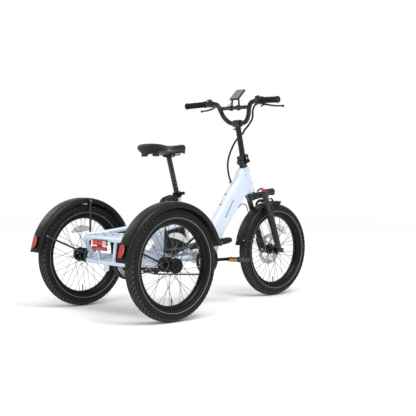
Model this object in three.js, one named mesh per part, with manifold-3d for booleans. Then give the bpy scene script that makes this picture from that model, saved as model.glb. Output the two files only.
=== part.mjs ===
// Adult tricycle with electric assist, built as separate pieces.
// Millimetres, +Z up. The front wheel is towards -Y and the rider's left is +X.
// Inside the group "tricycle" the rear axle lies on y = 0 and the ground on z = 0.
import * as THREE from "three";
import { mergeVertices } from "three/addons/utils/BufferGeometryUtils.js";
import Module from "manifold-3d";

const wasm = await Module();
wasm.setup();

// ---- driving dimensions ----
const WHEELBASE = 1097;
const TRACK = 709;
const GAP = 0.3;

const TYRE_RADIUS = 266;
const TYRE_WIDTH = 66;
const RIM_RADIUS = 208;
const RIM_DEPTH = 18;
const RIM_WIDTH = 40;
const WHEEL_SIDES = 36;
const SPOKES = 36;
const SPOKE_RADIUS = 1.3;

const STEER_ANGLE = 22;
const HEAD_TUBE_LENGTH = 149;
const HEAD_TUBE_RADIUS = 24;
const HEAD_BOTTOM_AHEAD = WHEELBASE - 202;
const HEAD_BOTTOM_HEIGHT = 2 * TYRE_RADIUS + 70.5;
const STEERER_RADIUS = 14;
const FORK_LEG_SPAN = 132;
const FORK_LEG_AHEAD = 42;
const STANCHION_RADIUS = 15;
const FORK_TRAVEL = 30;

const STEM_ANGLE = 13.7;
const STEM_LENGTH = 202;
const STEM_RADIUS = 15;
const BAR_RADIUS = 12.5;
const BAR_WIDTH = 711;
const GRIP_RADIUS = 16.5;
const GRIP_LENGTH = 137;

const SEAT_ANGLE = 17;
const SEAT_TUBE_RADIUS = 17.5;
const SEAT_TUBE_TOP_HEIGHT = 575;
const SEAT_TUBE_TOP_AHEAD = 346;
const SEATPOST_RADIUS = 13.6;
const SEAT_HEIGHT = 850;
const SADDLE_LENGTH = 266;
const SADDLE_WIDTH = 200;

const CRANK_AHEAD = 500;
const CRANK_HEIGHT = 240;
const CRANK_LENGTH = 166;
const CHAINRING_RADIUS = 72;
const SPROCKET_RADIUS = 33;
const CHAIN_LINE = -66;
const CHAIN_RISE = 5;

const BATTERY_WIDTH = 72;
const BATTERY_DEPTH = 120;
const CARRIER_WIDTH = 380;
const CARRIER_HEIGHT = 371;
const CARRIER_BEHIND = 112;
const CARRIER_TUBE_RADIUS = 12;
const AXLE_TUBE_RADIUS = 20;
const AXLE_BORE = 12;
const AXLE_RADIUS = 8;

const REAR_FENDER_GAP = 34;
const FRONT_FENDER_GAP = 18;
const REAR_FENDER_WIDTH = 90;
const FRONT_FENDER_WIDTH = 80;
const FENDER_WALL = 3;
const REFLECTOR_DEPTH = 10;

// ---- colours ----
const PALE_BLUE = 0xcbd8e7;
const BLACK = 0x1d1d1f;
const RUBBER = 0x2b2b2c;
const STEEL = 0xa9abad;
const RED = 0xc8140c;
const GREY = 0x6f6d6d;

// ---- small geometry tools ----
const rad = THREE.MathUtils.degToRad;
const at = (x, y, z) => new THREE.Vector3(x, y, z);
const flat = (x, y) => new THREE.Vector2(x, y);
const steps = (count) => Array.from({ length: count + 1 }, (_, i) => i / count);

function solidOf(geometry) {
  const bare = geometry.clone();
  bare.deleteAttribute("normal");
  bare.deleteAttribute("uv");
  const merged = mergeVertices(bare, 1e-3);
  const vertProperties = merged.attributes.position.array;
  const triVerts = new Uint32Array(merged.index.array);
  return new wasm.Manifold(new wasm.Mesh({ numProp: 3, vertProperties, triVerts }));
}

function geometryOf(solid) {
  const mesh = solid.getMesh();
  const geometry = new THREE.BufferGeometry();
  geometry.setAttribute("position", new THREE.BufferAttribute(mesh.vertProperties, 3));
  geometry.setIndex(new THREE.BufferAttribute(mesh.triVerts, 1));
  return geometry;
}

function join(...pieces) {
  return geometryOf(pieces.map(solidOf).reduce((sum, piece) => sum.add(piece)));
}

function cut(body, ...holes) {
  return geometryOf(holes.map(solidOf).reduce((rest, hole) => rest.subtract(hole), solidOf(body)));
}

// A round bar from a to b, which may taper from radius to endRadius.
function rod(a, b, radius, sides = 10, endRadius = radius) {
  const along = b.clone().sub(a);
  const geometry = new THREE.CylinderGeometry(endRadius, radius, along.length(), sides);
  const turn = new THREE.Quaternion().setFromUnitVectors(at(0, 1, 0), along.clone().normalize());
  geometry.applyQuaternion(turn);
  const middle = a.clone().add(b).multiplyScalar(0.5);
  return geometry.translate(middle.x, middle.y, middle.z);
}

const crossRod = (x0, x1, y, z, radius, sides = 10) => rod(at(x0, y, z), at(x1, y, z), radius, sides);

function box(low, high) {
  const size = high.clone().sub(low);
  const middle = high.clone().add(low).multiplyScalar(0.5);
  return new THREE.BoxGeometry(size.x, size.y, size.z).translate(middle.x, middle.y, middle.z);
}

function circle(radius, sides) {
  const points = steps(sides).slice(0, sides);
  return new THREE.Shape(points.map((t) => {
    const angle = t * 2 * Math.PI;
    return flat(radius * Math.cos(angle), radius * Math.sin(angle));
  }));
}

// A bent round tube through the points.
function tube(points, radius, sides, count) {
  const extrudePath = new THREE.CatmullRomCurve3(points, false, "centripetal");
  return new THREE.ExtrudeGeometry(circle(radius, sides), { steps: count, bevelEnabled: false, extrudePath });
}

// A plate in a plane of constant x, from an outline of (y, z) points.
function sidePlate(outline, x0, x1, holes = []) {
  const shape = new THREE.Shape(outline.map(([y, z]) => flat(y, z)));
  shape.holes = holes.map((hole) => new THREE.Path(hole.map(([y, z]) => flat(y, z))));
  const geometry = new THREE.ExtrudeGeometry(shape, { depth: x1 - x0, bevelEnabled: false });
  const turn = new THREE.Matrix4().makeBasis(at(0, 1, 0), at(0, 0, 1), at(1, 0, 0));
  return geometry.applyMatrix4(turn).translate(x0, 0, 0);
}

// A closed skin over stations, each with an origin, two directions and an outline of the same count.
// The outline runs anticlockwise, and x cross y points towards the next station.
function loft(stations) {
  const count = stations[0].outline.length;
  const positions = [];
  for (const { origin, x, y, outline } of stations) {
    for (const point of outline) {
      const place = origin.clone().addScaledVector(x, point.x).addScaledVector(y, point.y);
      positions.push(place.x, place.y, place.z);
    }
  }
  const index = [];
  for (let i = 0; i < stations.length - 1; i += 1) {
    for (let j = 0; j < count; j += 1) {
      const a = i * count + j;
      const b = i * count + ((j + 1) % count);
      index.push(a, b, b + count, a, b + count, a + count);
    }
  }
  const last = (stations.length - 1) * count;
  for (const [a, b, c] of THREE.ShapeUtils.triangulateShape(stations[0].outline, [])) {
    index.push(c, b, a);
  }
  for (const [a, b, c] of THREE.ShapeUtils.triangulateShape(stations.at(-1).outline, [])) {
    index.push(last + a, last + b, last + c);
  }
  const geometry = new THREE.BufferGeometry();
  geometry.setAttribute("position", new THREE.Float32BufferAttribute(positions, 3));
  geometry.setIndex(index);
  return geometry;
}

// A ring turned about the X axis through (x, y, z), from a closed profile of (radius, offset in x).
function wheelRing(profile, x, y, z, sides = WHEEL_SIDES) {
  const closed = [...profile, profile[0]].map(([radius, offset]) => flat(radius, offset));
  const geometry = new THREE.LatheGeometry(closed, sides);
  geometry.rotateY(Math.PI / sides);
  return geometry.rotateZ(-Math.PI / 2).translate(x, y, z);
}

const trike = new THREE.Group();
trike.name = "tricycle";

function add(name, geometry, colour, roughness = 0.5, metalness = 0) {
  const shown = geometry.index ? geometry.toNonIndexed() : geometry;
  shown.computeVertexNormals();
  const mesh = new THREE.Mesh(shown, new THREE.MeshStandardMaterial({ color: colour, roughness, metalness }));
  mesh.name = name;
  trike.add(mesh);
}

const SIDES = [["left", 1], ["right", -1]];
const mirrorX = (point, side) => at(point.x * side, point.y, point.z);

// ---- steering axis ----
const headBottom = at(0, -HEAD_BOTTOM_AHEAD, HEAD_BOTTOM_HEIGHT);
const steerUp = at(0, Math.sin(rad(STEER_ANGLE)), Math.cos(rad(STEER_ANGLE)));
const steerAhead = at(0, -Math.cos(rad(STEER_ANGLE)), Math.sin(rad(STEER_ANGLE)));
const onSteer = (x, ahead, up) => headBottom.clone()
  .addScaledVector(steerUp, up)
  .addScaledVector(steerAhead, ahead)
  .add(at(x, 0, 0));

// ---- wheels ----
const tread = TYRE_RADIUS / Math.cos(Math.PI / WHEEL_SIDES);
const tyreBase = RIM_RADIUS + GAP;
const tyreProfile = [
  [tyreBase, -0.3 * TYRE_WIDTH],
  [tyreBase + 22, -0.5 * TYRE_WIDTH],
  [tread - 8, -0.39 * TYRE_WIDTH],
  [tread, -0.14 * TYRE_WIDTH],
  [tread, 0.14 * TYRE_WIDTH],
  [tread - 8, 0.39 * TYRE_WIDTH],
  [tyreBase + 22, 0.5 * TYRE_WIDTH],
  [tyreBase, 0.3 * TYRE_WIDTH],
];
const rimInside = RIM_RADIUS - RIM_DEPTH;
const rimProfile = [
  [rimInside, -0.34 * RIM_WIDTH],
  [RIM_RADIUS, -0.5 * RIM_WIDTH],
  [RIM_RADIUS, 0.5 * RIM_WIDTH],
  [rimInside, 0.34 * RIM_WIDTH],
];

// Tangent-laced spokes, half of them on each flange, with their heads inside and outside in turn.
function spokes(x, y, z, flanges, flangeRadius) {
  const reach = rimInside * Math.cos(Math.PI / WHEEL_SIDES) - 1;
  const bars = [];
  for (let i = 0; i < SPOKES; i += 1) {
    const side = i % 2;
    const lean = Math.floor(i / 2) % 2 ? 1 : -1;
    const rimAngle = (i + 0.5) * 2 * Math.PI / SPOKES;
    const hubAngle = rimAngle + lean * rad(68);
    const head = flanges[side] + lean * 1.6;
    const start = at(x + head, y + flangeRadius * Math.cos(hubAngle), z + flangeRadius * Math.sin(hubAngle));
    const end = at(x + 0.12 * flanges[side], y + reach * Math.cos(rimAngle), z + reach * Math.sin(rimAngle));
    bars.push(rod(start, end, SPOKE_RADIUS, 3));
  }
  return bars;
}

function wheel(tyreName, rimName, x, y) {
  const z = TYRE_RADIUS;
  add(tyreName, wheelRing(tyreProfile, x, y, z), RUBBER, 0.85);
  add(rimName, wheelRing(rimProfile, x, y, z), BLACK, 0.4, 0.3);
}

const REAR_FLANGES = [-26, 26];
const REAR_FLANGE_RADIUS = 37;
const HUB_END = 43;
const HUB_INNER_END = 50;
const MOTOR_INNER = -14;
const MOTOR_WIDTH = 32;
const ROTOR_X = -52;
const RIGHT_HOUSING_END = -82;
const LEFT_SHAFT_END = 60;
const shaftEnds = { left: LEFT_SHAFT_END, right: MOTOR_INNER - 4 };

for (const [side, sign] of SIDES) {
  const x = sign * TRACK / 2;
  wheel(`rear_tyre_${side}`, `rear_rim_${side}`, x, 0);
  const lower = (offset) => x + sign * offset;
  const hub = join(
    crossRod(lower(REAR_FLANGES[0] - 4), lower(REAR_FLANGES[0] + 4), 0, TYRE_RADIUS, REAR_FLANGE_RADIUS, 12),
    crossRod(lower(REAR_FLANGES[0]), lower(REAR_FLANGES[1]), 0, TYRE_RADIUS, 19, 8),
    crossRod(lower(REAR_FLANGES[1] - 4), lower(REAR_FLANGES[1] + 3), 0, TYRE_RADIUS, REAR_FLANGE_RADIUS, 12),
    crossRod(lower(REAR_FLANGES[1]), lower(HUB_END), 0, TYRE_RADIUS, 34, 14),
    crossRod(lower(-HUB_INNER_END), lower(REAR_FLANGES[0]), 0, TYRE_RADIUS, 22, 10),
    crossRod(shaftEnds[side], lower(-HUB_INNER_END + 5), 0, TYRE_RADIUS, AXLE_RADIUS, 8),
    ...spokes(x, 0, TYRE_RADIUS, REAR_FLANGES.map((f) => f * sign), REAR_FLANGE_RADIUS - 4),
  );
  add(`rear_hub_${side}`, hub, BLACK, 0.45, 0.3);
}

const frontY = -WHEELBASE;
const FRONT_FLANGES = [-24, 22];
const FRONT_HUB_END = 36;
const FRONT_ROTOR_X = 33;
const ROTOR_RADIUS = 90;
wheel("front_tyre", "front_rim", 0, frontY);
add("front_hub", join(
  crossRod(-FRONT_HUB_END, FRONT_ROTOR_X - 1.2 - GAP, frontY, TYRE_RADIUS, 15, 8),
  crossRod(FRONT_FLANGES[0] - 3, FRONT_FLANGES[0] + 3, frontY, TYRE_RADIUS, 27, 10),
  crossRod(FRONT_FLANGES[1] - 3, FRONT_FLANGES[1] + 3, frontY, TYRE_RADIUS, 27, 10),
  crossRod(-FRONT_HUB_END - 3, FRONT_HUB_END + 3, frontY, TYRE_RADIUS, 6.6, 8),
  ...spokes(0, frontY, TYRE_RADIUS, FRONT_FLANGES, 24),
), BLACK, 0.45, 0.3);

// A brake disc: a ring with windows, on a small carrier with a bore.
function rotor(x, y, z, bore) {
  const windows = steps(6).slice(0, 6).map((t) => {
    const angle = t * 2 * Math.PI;
    const middle = 0.62 * ROTOR_RADIUS;
    return crossRod(x - 5, x + 5, y + middle * Math.cos(angle), z + middle * Math.sin(angle), 19, 6);
  });
  const disc = crossRod(x - 1.2, x + 1.2, y, z, ROTOR_RADIUS, 24);
  return cut(disc, crossRod(x - 5, x + 5, y, z, bore, 8), ...windows);
}
add("front_rotor", rotor(FRONT_ROTOR_X, frontY, TYRE_RADIUS, 7.6), STEEL, 0.3, 0.9);
add("rear_rotor", rotor(ROTOR_X, 0, TYRE_RADIUS, AXLE_RADIUS + 1.5 * GAP), STEEL, 0.3, 0.9);

// ---- main frame ----
// Each pair is a point on the tube's top line and the point below it on its underside, as (y, z).
const seatDown = at(0, -Math.sin(rad(SEAT_ANGLE)), -Math.cos(rad(SEAT_ANGLE)));
const seatBehind = at(0, Math.cos(rad(SEAT_ANGLE)), -Math.sin(rad(SEAT_ANGLE)));
const seatTop = at(0, -SEAT_TUBE_TOP_AHEAD, SEAT_TUBE_TOP_HEIGHT);
const onSeat = (x, behind, down) => seatTop.clone()
  .addScaledVector(seatDown, down)
  .addScaledVector(seatBehind, behind)
  .add(at(x, 0, 0));
const beamTop = CRANK_HEIGHT + 52;
const headLine = (up) => onSteer(0, 0, up);
const beamPairs = [
  [at(0, -400, beamTop), at(0, -400, CRANK_HEIGHT - 6)],
  [at(0, -CRANK_AHEAD, beamTop), at(0, -CRANK_AHEAD - 5, CRANK_HEIGHT - 12)],
  [at(0, -548, beamTop + 26), at(0, -588, CRANK_HEIGHT)],
  [at(0, -566, 370), at(0, -628, 290)],
  [at(0, -588, 430), at(0, -662, 362)],
  [at(0, -628, 483), at(0, -704, 424)],
  [at(0, -663, 532), at(0, -748, 476)],
  [at(0, -700, 587), at(0, -790, 527)],
  [headLine(98).add(at(0, 88, -24)), headLine(0).add(at(0, 58, -24))],
  [headLine(118).add(at(0, 60, -2)), headLine(4).add(at(0, 30, -14))],
  [headLine(136).add(at(0, 32, 6)), headLine(10).add(at(0, 12, 0))],
];
const DOWNTUBE_WIDTH = 52;
function tubeOutline(depth) {
  const half = DOWNTUBE_WIDTH / 2;
  return [
    flat(0.5 * half, 0),
    flat(-0.5 * half, 0),
    flat(-half, -15),
    flat(-half, -depth + 14),
    flat(-0.6 * half, -depth),
    flat(0.6 * half, -depth),
    flat(half, -depth + 14),
    flat(half, -15),
  ];
}
const downtube = loft(beamPairs.map(([top, under]) => {
  const up = top.clone().sub(under);
  const depth = up.length();
  return { origin: top, x: at(1, 0, 0), y: up.normalize(), outline: tubeOutline(depth) };
}));
const SEAT_TUBE_DEPTH = 300;
const POST_INSERTION = 230;
const SPINDLE_RADIUS = 9;
const bracketBore = crossRod(-60, 60, -CRANK_AHEAD, CRANK_HEIGHT, SPINDLE_RADIUS + 1.5, 14);
const headRing = (up, length, radius) => rod(headLine(up), headLine(up + length), radius, 14);
// Two bosses for a front rack stand on the front of the head tube.
const RACK_BOSS_RISES = [38, 112];
const rackBosses = RACK_BOSS_RISES.map((up) => rod(onSteer(0, 10, up), onSteer(0, 38, up), 7, 10));
const frameBody = join(
  downtube,
  headRing(0, HEAD_TUBE_LENGTH, HEAD_TUBE_RADIUS),
  headRing(0, 14, HEAD_TUBE_RADIUS + 4),
  headRing(HEAD_TUBE_LENGTH - 12, 12, HEAD_TUBE_RADIUS + 3),
  rod(onSeat(0, 0, 0), onSeat(0, 0, SEAT_TUBE_DEPTH), SEAT_TUBE_RADIUS, 14),
  crossRod(-34, 34, -CRANK_AHEAD, CRANK_HEIGHT, 23, 14),
  ...rackBosses,
);
add("main_frame", cut(
  frameBody,
  rod(headLine(-20), headLine(HEAD_TUBE_LENGTH + 20), STEERER_RADIUS + 1, 14),
  rod(onSeat(0, 0, -20), onSeat(0, 0, POST_INSERTION + 110), SEATPOST_RADIUS + 0.9, 14),
  bracketBore,
), PALE_BLUE, 0.35);

// ---- rear frame ----
const halfCarrier = CARRIER_WIDTH / 2;
const axleZ = TYRE_RADIUS;
const AXLE_TUBE_END = 289;
const CROSS_MEMBER_TOP = CARRIER_HEIGHT + 24;
const SIDE_PLATE_X = 165;
const LOWER_BAR_Z = 256;
const STAY_Z = CRANK_HEIGHT + 22;
const slot = (y, z, halfWidth, halfHeight) => [
  [y - halfWidth, z - halfHeight],
  [y - halfWidth, z + halfHeight],
  [y + halfWidth, z + halfHeight],
  [y + halfWidth, z - halfHeight],
];
// The slotted plate stands on the drive side only.
const sidePlateOutline = [
  [-109, 335],
  [-94, 278],
  [-14, 258],
  [10, 266],
  [8, 284],
  [-9, 315],
  [-53, 359],
  [-14, 390],
  [-73, 413],
  [-108, 428],
];
const slantedSlot = [[-73, 332], [-63, 336], [-49, 301], [-59, 297]];
const diamondHole = [[-83, 393], [-91, 401], [-83, 409], [-75, 401]];
const stayPoints = [at(185, 100, 384), at(160, 20, 392), at(74, -340, 452), at(30, -380, 470)];
// Half of each bent bar of the carrier, from the middle outwards to the axle tube.
const topBar = [
  at(0, CARRIER_BEHIND, CARRIER_HEIGHT),
  at(halfCarrier - 40, CARRIER_BEHIND, CARRIER_HEIGHT),
  at(halfCarrier - 12, CARRIER_BEHIND - 2, CARRIER_HEIGHT - 2),
  at(halfCarrier + 10, CARRIER_BEHIND - 16, CARRIER_HEIGHT - 19),
  at(268, 4, axleZ + 14),
];
const lowerBar = [
  at(0, CARRIER_BEHIND, LOWER_BAR_Z),
  at(150, CARRIER_BEHIND - 2, LOWER_BAR_Z),
  at(178, CARRIER_BEHIND - 16, LOWER_BAR_Z + 1),
  at(276, 8, axleZ - 4),
];
const bentBar = (half, radius) => tube([
  ...half.slice(1).map((point) => mirrorX(point, -1)).reverse(),
  ...half,
], radius, 8, 20);
const rearPieces = [
  bentBar(topBar, CARRIER_TUBE_RADIUS),
  bentBar(lowerBar, 10),
  crossRod(-AXLE_TUBE_END, RIGHT_HOUSING_END, 0, axleZ, AXLE_TUBE_RADIUS, 10),
  crossRod(MOTOR_INNER + 2, AXLE_TUBE_END, 0, axleZ, AXLE_TUBE_RADIUS, 10),
  box(at(-200, -16, CROSS_MEMBER_TOP - 14), at(200, 14, CROSS_MEMBER_TOP)),
  box(at(-144, 0, CARRIER_HEIGHT + 9), at(144, CARRIER_BEHIND, CARRIER_HEIGHT + 16)),
  cut(
    box(at(-19, CARRIER_BEHIND - 3, 216), at(19, CARRIER_BEHIND + 3, LOWER_BAR_Z)),
    rod(at(0, CARRIER_BEHIND - 9, 229), at(0, CARRIER_BEHIND + 9, 229), 8, 12),
  ),
  sidePlate(sidePlateOutline, -SIDE_PLATE_X - 7, -SIDE_PLATE_X, [
    slantedSlot,
    diamondHole,
    slot(-85, 329.5, 3.5, 8.5),
  ]),
  rod(at(-32, -381, 471), at(32, -381, 471), 12, 6),
];
for (const [, sign] of SIDES) {
  const corner = (x, y, z) => at(sign * x, y, z);
  rearPieces.push(
    rod(corner(72, CARRIER_BEHIND, CARRIER_HEIGHT - 4), corner(56, CARRIER_BEHIND, LOWER_BAR_Z + 3), 8, 8),
    rod(corner(112, CARRIER_BEHIND, LOWER_BAR_Z), corner(150, 0, axleZ), 8, 6),
    tube(stayPoints.map((point) => mirrorX(point, sign)), 11, 6, 7),
    rod(corner(40, -402, STAY_Z), corner(112, -150, STAY_Z), 12, 6),
    rod(corner(110, -158, STAY_Z), corner(140, -6, axleZ), 12, 6),
    crossRod(sign > 0 ? 20 : -48, sign > 0 ? 48 : -20, -402, STAY_Z, 13, 8),
  );
}
const framePocket = DOWNTUBE_WIDTH / 2 + GAP;
add("rear_frame", cut(
  join(...rearPieces),
  crossRod(-400, 400, 0, axleZ, AXLE_BORE, 8),
  rod(onSeat(0, 0, -10), onSeat(0, 0, SEAT_TUBE_DEPTH), SEAT_TUBE_RADIUS + 4 * GAP, 10),
  box(at(-framePocket, -460, CRANK_HEIGHT - 30), at(framePocket, -360, beamTop + 20)),
), PALE_BLUE, 0.35);

// ---- motor, brake and chain ----
const motorOuter = MOTOR_INNER - MOTOR_WIDTH;
const MOTOR_RADIUS = 97;
add("drive_motor", cut(
  crossRod(motorOuter, MOTOR_INNER, 0, axleZ, MOTOR_RADIUS, 32),
  crossRod(-400, 400, 0, axleZ, AXLE_BORE, 12),
  crossRod(MOTOR_INNER + 2 - GAP, MOTOR_INNER + 40, 0, axleZ, AXLE_TUBE_RADIUS + 2, 12),
), BLACK, 0.5);

const sprocketHalf = 1.5;
const ring = (radius, bore, x, half, y, z, sides) => cut(
  crossRod(x - half, x + half, y, z, radius, sides),
  crossRod(x - half - 2, x + half + 2, y, z, bore, 12),
);
const sprocket = ring(SPROCKET_RADIUS, AXLE_RADIUS + 1.2, CHAIN_LINE, sprocketHalf, 0, axleZ, 16);
add("rear_sprocket", sprocket, STEEL, 0.4, 0.8);

const jockey = { y: -150, z: 212, radius: 17 };
add("jockey_wheel", ring(jockey.radius, 4, CHAIN_LINE, sprocketHalf, jockey.y, jockey.z, 12), BLACK, 0.6);

// The chain's loop is the tightest outline round its three wheels, offset inwards or outwards.
function loopRound(wheels, offset) {
  const points = [];
  for (const { y, z, radius } of wheels) {
    for (const t of steps(24).slice(0, 24)) {
      const angle = t * 2 * Math.PI;
      points.push([y + (radius + offset) * Math.cos(angle), z + (radius + offset) * Math.sin(angle)]);
    }
  }
  points.sort((a, b) => a[0] - b[0] || a[1] - b[1]);
  const turn = (o, a, b) => (a[0] - o[0]) * (b[1] - o[1]) - (a[1] - o[1]) * (b[0] - o[0]);
  const half = (list) => {
    const kept = [];
    for (const point of list) {
      while (kept.length > 1 && turn(kept.at(-2), kept.at(-1), point) <= 0) kept.pop();
      kept.push(point);
    }
    return kept.slice(0, -1);
  };
  return [...half(points), ...half([...points].reverse())];
}
const chainWheels = [
  { y: -CRANK_AHEAD, z: CRANK_HEIGHT, radius: CHAINRING_RADIUS + CHAIN_RISE },
  { y: 0, z: axleZ, radius: SPROCKET_RADIUS + CHAIN_RISE },
  { y: jockey.y, z: jockey.z, radius: jockey.radius + CHAIN_RISE },
];
const CHAIN_HALF_DEPTH = 3.5;
const chainLoop = sidePlate(loopRound(chainWheels, CHAIN_HALF_DEPTH), CHAIN_LINE - 3.4, CHAIN_LINE + 3.4);
const chainInside = sidePlate(loopRound(chainWheels, -CHAIN_HALF_DEPTH), CHAIN_LINE - 5, CHAIN_LINE + 5);
add("chain", cut(chainLoop, chainInside), STEEL, 0.5, 0.8);

const cageOuter = CHAIN_LINE - 9;
const cageInner = CHAIN_LINE + 5;
const cageEnds = [at(0, -62, 216), at(0, -172, 208)];
const cagePlate = (x) => join(
  rod(at(x, cageEnds[0].y, cageEnds[0].z), at(x + 3, cageEnds[0].y, cageEnds[0].z), 11),
  rod(at(x, cageEnds[1].y, cageEnds[1].z), at(x + 3, cageEnds[1].y, cageEnds[1].z), 11),
  box(at(x, cageEnds[1].y, cageEnds[1].z - 7), at(x + 3, cageEnds[0].y, cageEnds[0].z + 14)),
);
add("derailleur", join(
  cagePlate(cageOuter),
  cagePlate(cageInner),
  crossRod(cageOuter, cageInner + 3, jockey.y, jockey.z, 2.5, 8),
  crossRod(cageOuter, cageInner + 3, -74, 222, 5, 8),
  rod(at(cageOuter - 3, -70, 220), at(cageOuter - 3, -14, axleZ - AXLE_TUBE_RADIUS - 6), 7, 8),
  crossRod(cageOuter - 6, cageOuter + 1, -70, 220, 8, 8),
), BLACK, 0.5);

const guardOutline = [
  [-366, 300],
  [-440, 308],
  [-560, 312],
  [-655, 325],
  [-672, 331],
  [-679, 341],
  [-672, 352],
  [-655, 357],
  [-560, 347],
  [-440, 343],
  [-366, 326],
];
add("chain_guard", cut(
  sidePlate([...guardOutline].reverse(), CHAIN_LINE - 12, CHAIN_LINE + 12),
  crossRod(CHAIN_LINE - 8, CHAIN_LINE + 30, -CRANK_AHEAD, CRANK_HEIGHT, CHAINRING_RADIUS + CHAIN_RISE + 7, 24),
  box(at(CHAIN_LINE - 8, -CRANK_AHEAD, 280), at(CHAIN_LINE + 30, -350, 328)),
), BLACK, 0.45);

// ---- cranks and pedals ----
const ARM_INNER = 80;
const ARM_WIDTH = 12;
const PEDAL_SPAN = 94;
const PEDAL_START = ARM_INNER + ARM_WIDTH + 4;
const pedalOffset = { left: CRANK_LENGTH, right: -CRANK_LENGTH };
const crankPieces = [
  crossRod(-ARM_INNER - 2, ARM_INNER + 2, -CRANK_AHEAD, CRANK_HEIGHT, SPINDLE_RADIUS, 10),
  cut(
    crossRod(CHAIN_LINE - 2, CHAIN_LINE + 2, -CRANK_AHEAD, CRANK_HEIGHT, CHAINRING_RADIUS, 22),
    ...steps(5).slice(0, 5).map((t) => {
      const angle = (t + 0.1) * 2 * Math.PI;
      const y = -CRANK_AHEAD + 40 * Math.cos(angle);
      return crossRod(CHAIN_LINE - 5, CHAIN_LINE + 5, y, CRANK_HEIGHT + 40 * Math.sin(angle), 16, 6);
    }),
  ),
];
for (const [side, sign] of SIDES) {
  const y = -CRANK_AHEAD + pedalOffset[side];
  const inner = Math.min(sign * ARM_INNER, sign * (ARM_INNER + ARM_WIDTH));
  const low = at(inner, Math.min(y, -CRANK_AHEAD), CRANK_HEIGHT - 9);
  const high = at(inner + ARM_WIDTH, Math.max(y, -CRANK_AHEAD), CRANK_HEIGHT + 9);
  crankPieces.push(
    box(low, high),
    crossRod(inner, inner + ARM_WIDTH, -CRANK_AHEAD, CRANK_HEIGHT, 15, 12),
    crossRod(inner, inner + ARM_WIDTH, y, CRANK_HEIGHT, 12, 12),
    crossRod(sign * ARM_INNER, sign * (PEDAL_START + PEDAL_SPAN), y, CRANK_HEIGHT, 4.5, 8),
  );
  const edge = Math.min(sign * PEDAL_START, sign * (PEDAL_START + PEDAL_SPAN));
  const body = box(at(edge, y - 45, CRANK_HEIGHT - 12), at(edge + PEDAL_SPAN, y + 45, CRANK_HEIGHT + 12));
  const bore = crossRod(edge - 5, edge + PEDAL_SPAN + 5, y, CRANK_HEIGHT, 6, 8);
  add(`pedal_${side}`, cut(body, bore), BLACK, 0.7);
}
add("crankset", join(...crankPieces), BLACK, 0.4, 0.4);

// ---- rear fenders, stays and lights ----
function fenderOutline(width, lip, crown) {
  const outer = [
    [0.5, lip],
    [0.5, lip + 0.55 * (crown - lip)],
    [0.4, crown - 5],
    [0.2, crown],
  ];
  const half = (wall) => outer.map(([share, radius], i) => {
    const inward = i < 2 ? 0 : wall;
    return flat(share * width - (i < 3 ? wall : 0), radius - inward);
  });
  const outside = half(0);
  const inside = half(FENDER_WALL);
  const flip = (list) => [...list].reverse().map((point) => flat(-point.x, point.y));
  return [...outside, ...flip(outside), ...flip(inside).reverse(), ...[...inside].reverse()];
}
function arcFender(x, y, width, lip, crown, from, to, count) {
  const outline = fenderOutline(width, lip, crown);
  return loft(steps(count).map((t) => {
    const angle = rad(from + t * (to - from));
    const outwards = at(0, Math.cos(angle), Math.sin(angle));
    return { origin: at(x, y, TYRE_RADIUS), x: at(1, 0, 0), y: outwards, outline };
  }));
}
const REAR_FENDER_FROM = 5;
const REAR_FENDER_TO = 164;
const lipRadius = TYRE_RADIUS + 4;
const round = (x, angle, radius) => at(x, radius * Math.cos(rad(angle)), axleZ + radius * Math.sin(rad(angle)));

// A reflector of stadium outline that stands on the rear of a fender.
function reflector(x) {
  const angle = REAR_FENDER_FROM + 10;
  const outwards = at(0, Math.cos(rad(angle)), Math.sin(rad(angle)));
  const upwards = at(0, -Math.sin(rad(angle)), Math.cos(rad(angle)));
  const outline = steps(16).slice(0, 16).map((t) => {
    const turn = t * 2 * Math.PI;
    return flat(17 * Math.cos(turn), 17 * Math.sin(turn) + 16 * Math.sign(Math.sin(turn + 0.01)));
  });
  const base = TYRE_RADIUS + REAR_FENDER_GAP + 0.6;
  const centre = at(x, 0, axleZ);
  // The x axis is turned so that x cross y points outwards.
  return loft([base, base + REFLECTOR_DEPTH].map((radius) => ({
    origin: centre.clone().addScaledVector(outwards, radius),
    x: at(-1, 0, 0),
    y: upwards,
    outline,
  })));
}
for (const [side, sign] of SIDES) {
  const x = sign * TRACK / 2;
  const crown = TYRE_RADIUS + REAR_FENDER_GAP;
  const fender = arcFender(x, 0, REAR_FENDER_WIDTH, lipRadius, crown, REAR_FENDER_FROM, REAR_FENDER_TO, 15);
  add(`rear_fender_${side}`, fender, BLACK, 0.35);
  const inside = x - sign * (REAR_FENDER_WIDTH / 2 + 5.4);
  const hub = x - sign * (HUB_INNER_END + 8);
  const stay = (angle) => rod(round(hub, angle, 24), round(inside, angle, lipRadius + 8), 5, 8);
  const fixing = (angle) => {
    const middle = round(inside, angle, lipRadius + 8);
    return crossRod(inside - 5, inside + 5, middle.y, middle.z, 7, 8);
  };
  const bracket = ring(38, AXLE_TUBE_RADIUS + 1, hub, 3, 0, axleZ, 14);
  add(`fender_stays_${side}`, join(bracket, stay(23), stay(148), fixing(23), fixing(148)), BLACK, 0.45);
  const crownEnd = at(inside, -8, axleZ + lipRadius + 14);
  const barEnd = at(hub, -2, axleZ + AXLE_TUBE_RADIUS + 18 + 2 * GAP);
  add(`fender_top_stay_${side}`, join(
    rod(barEnd, crownEnd, 4.6, 8),
    crossRod(inside - 5, inside + 5, crownEnd.y, crownEnd.z, 8, 8),
  ), BLACK, 0.45);
  add(`rear_reflector_${side}`, reflector(x), RED, 0.2);
}

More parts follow.
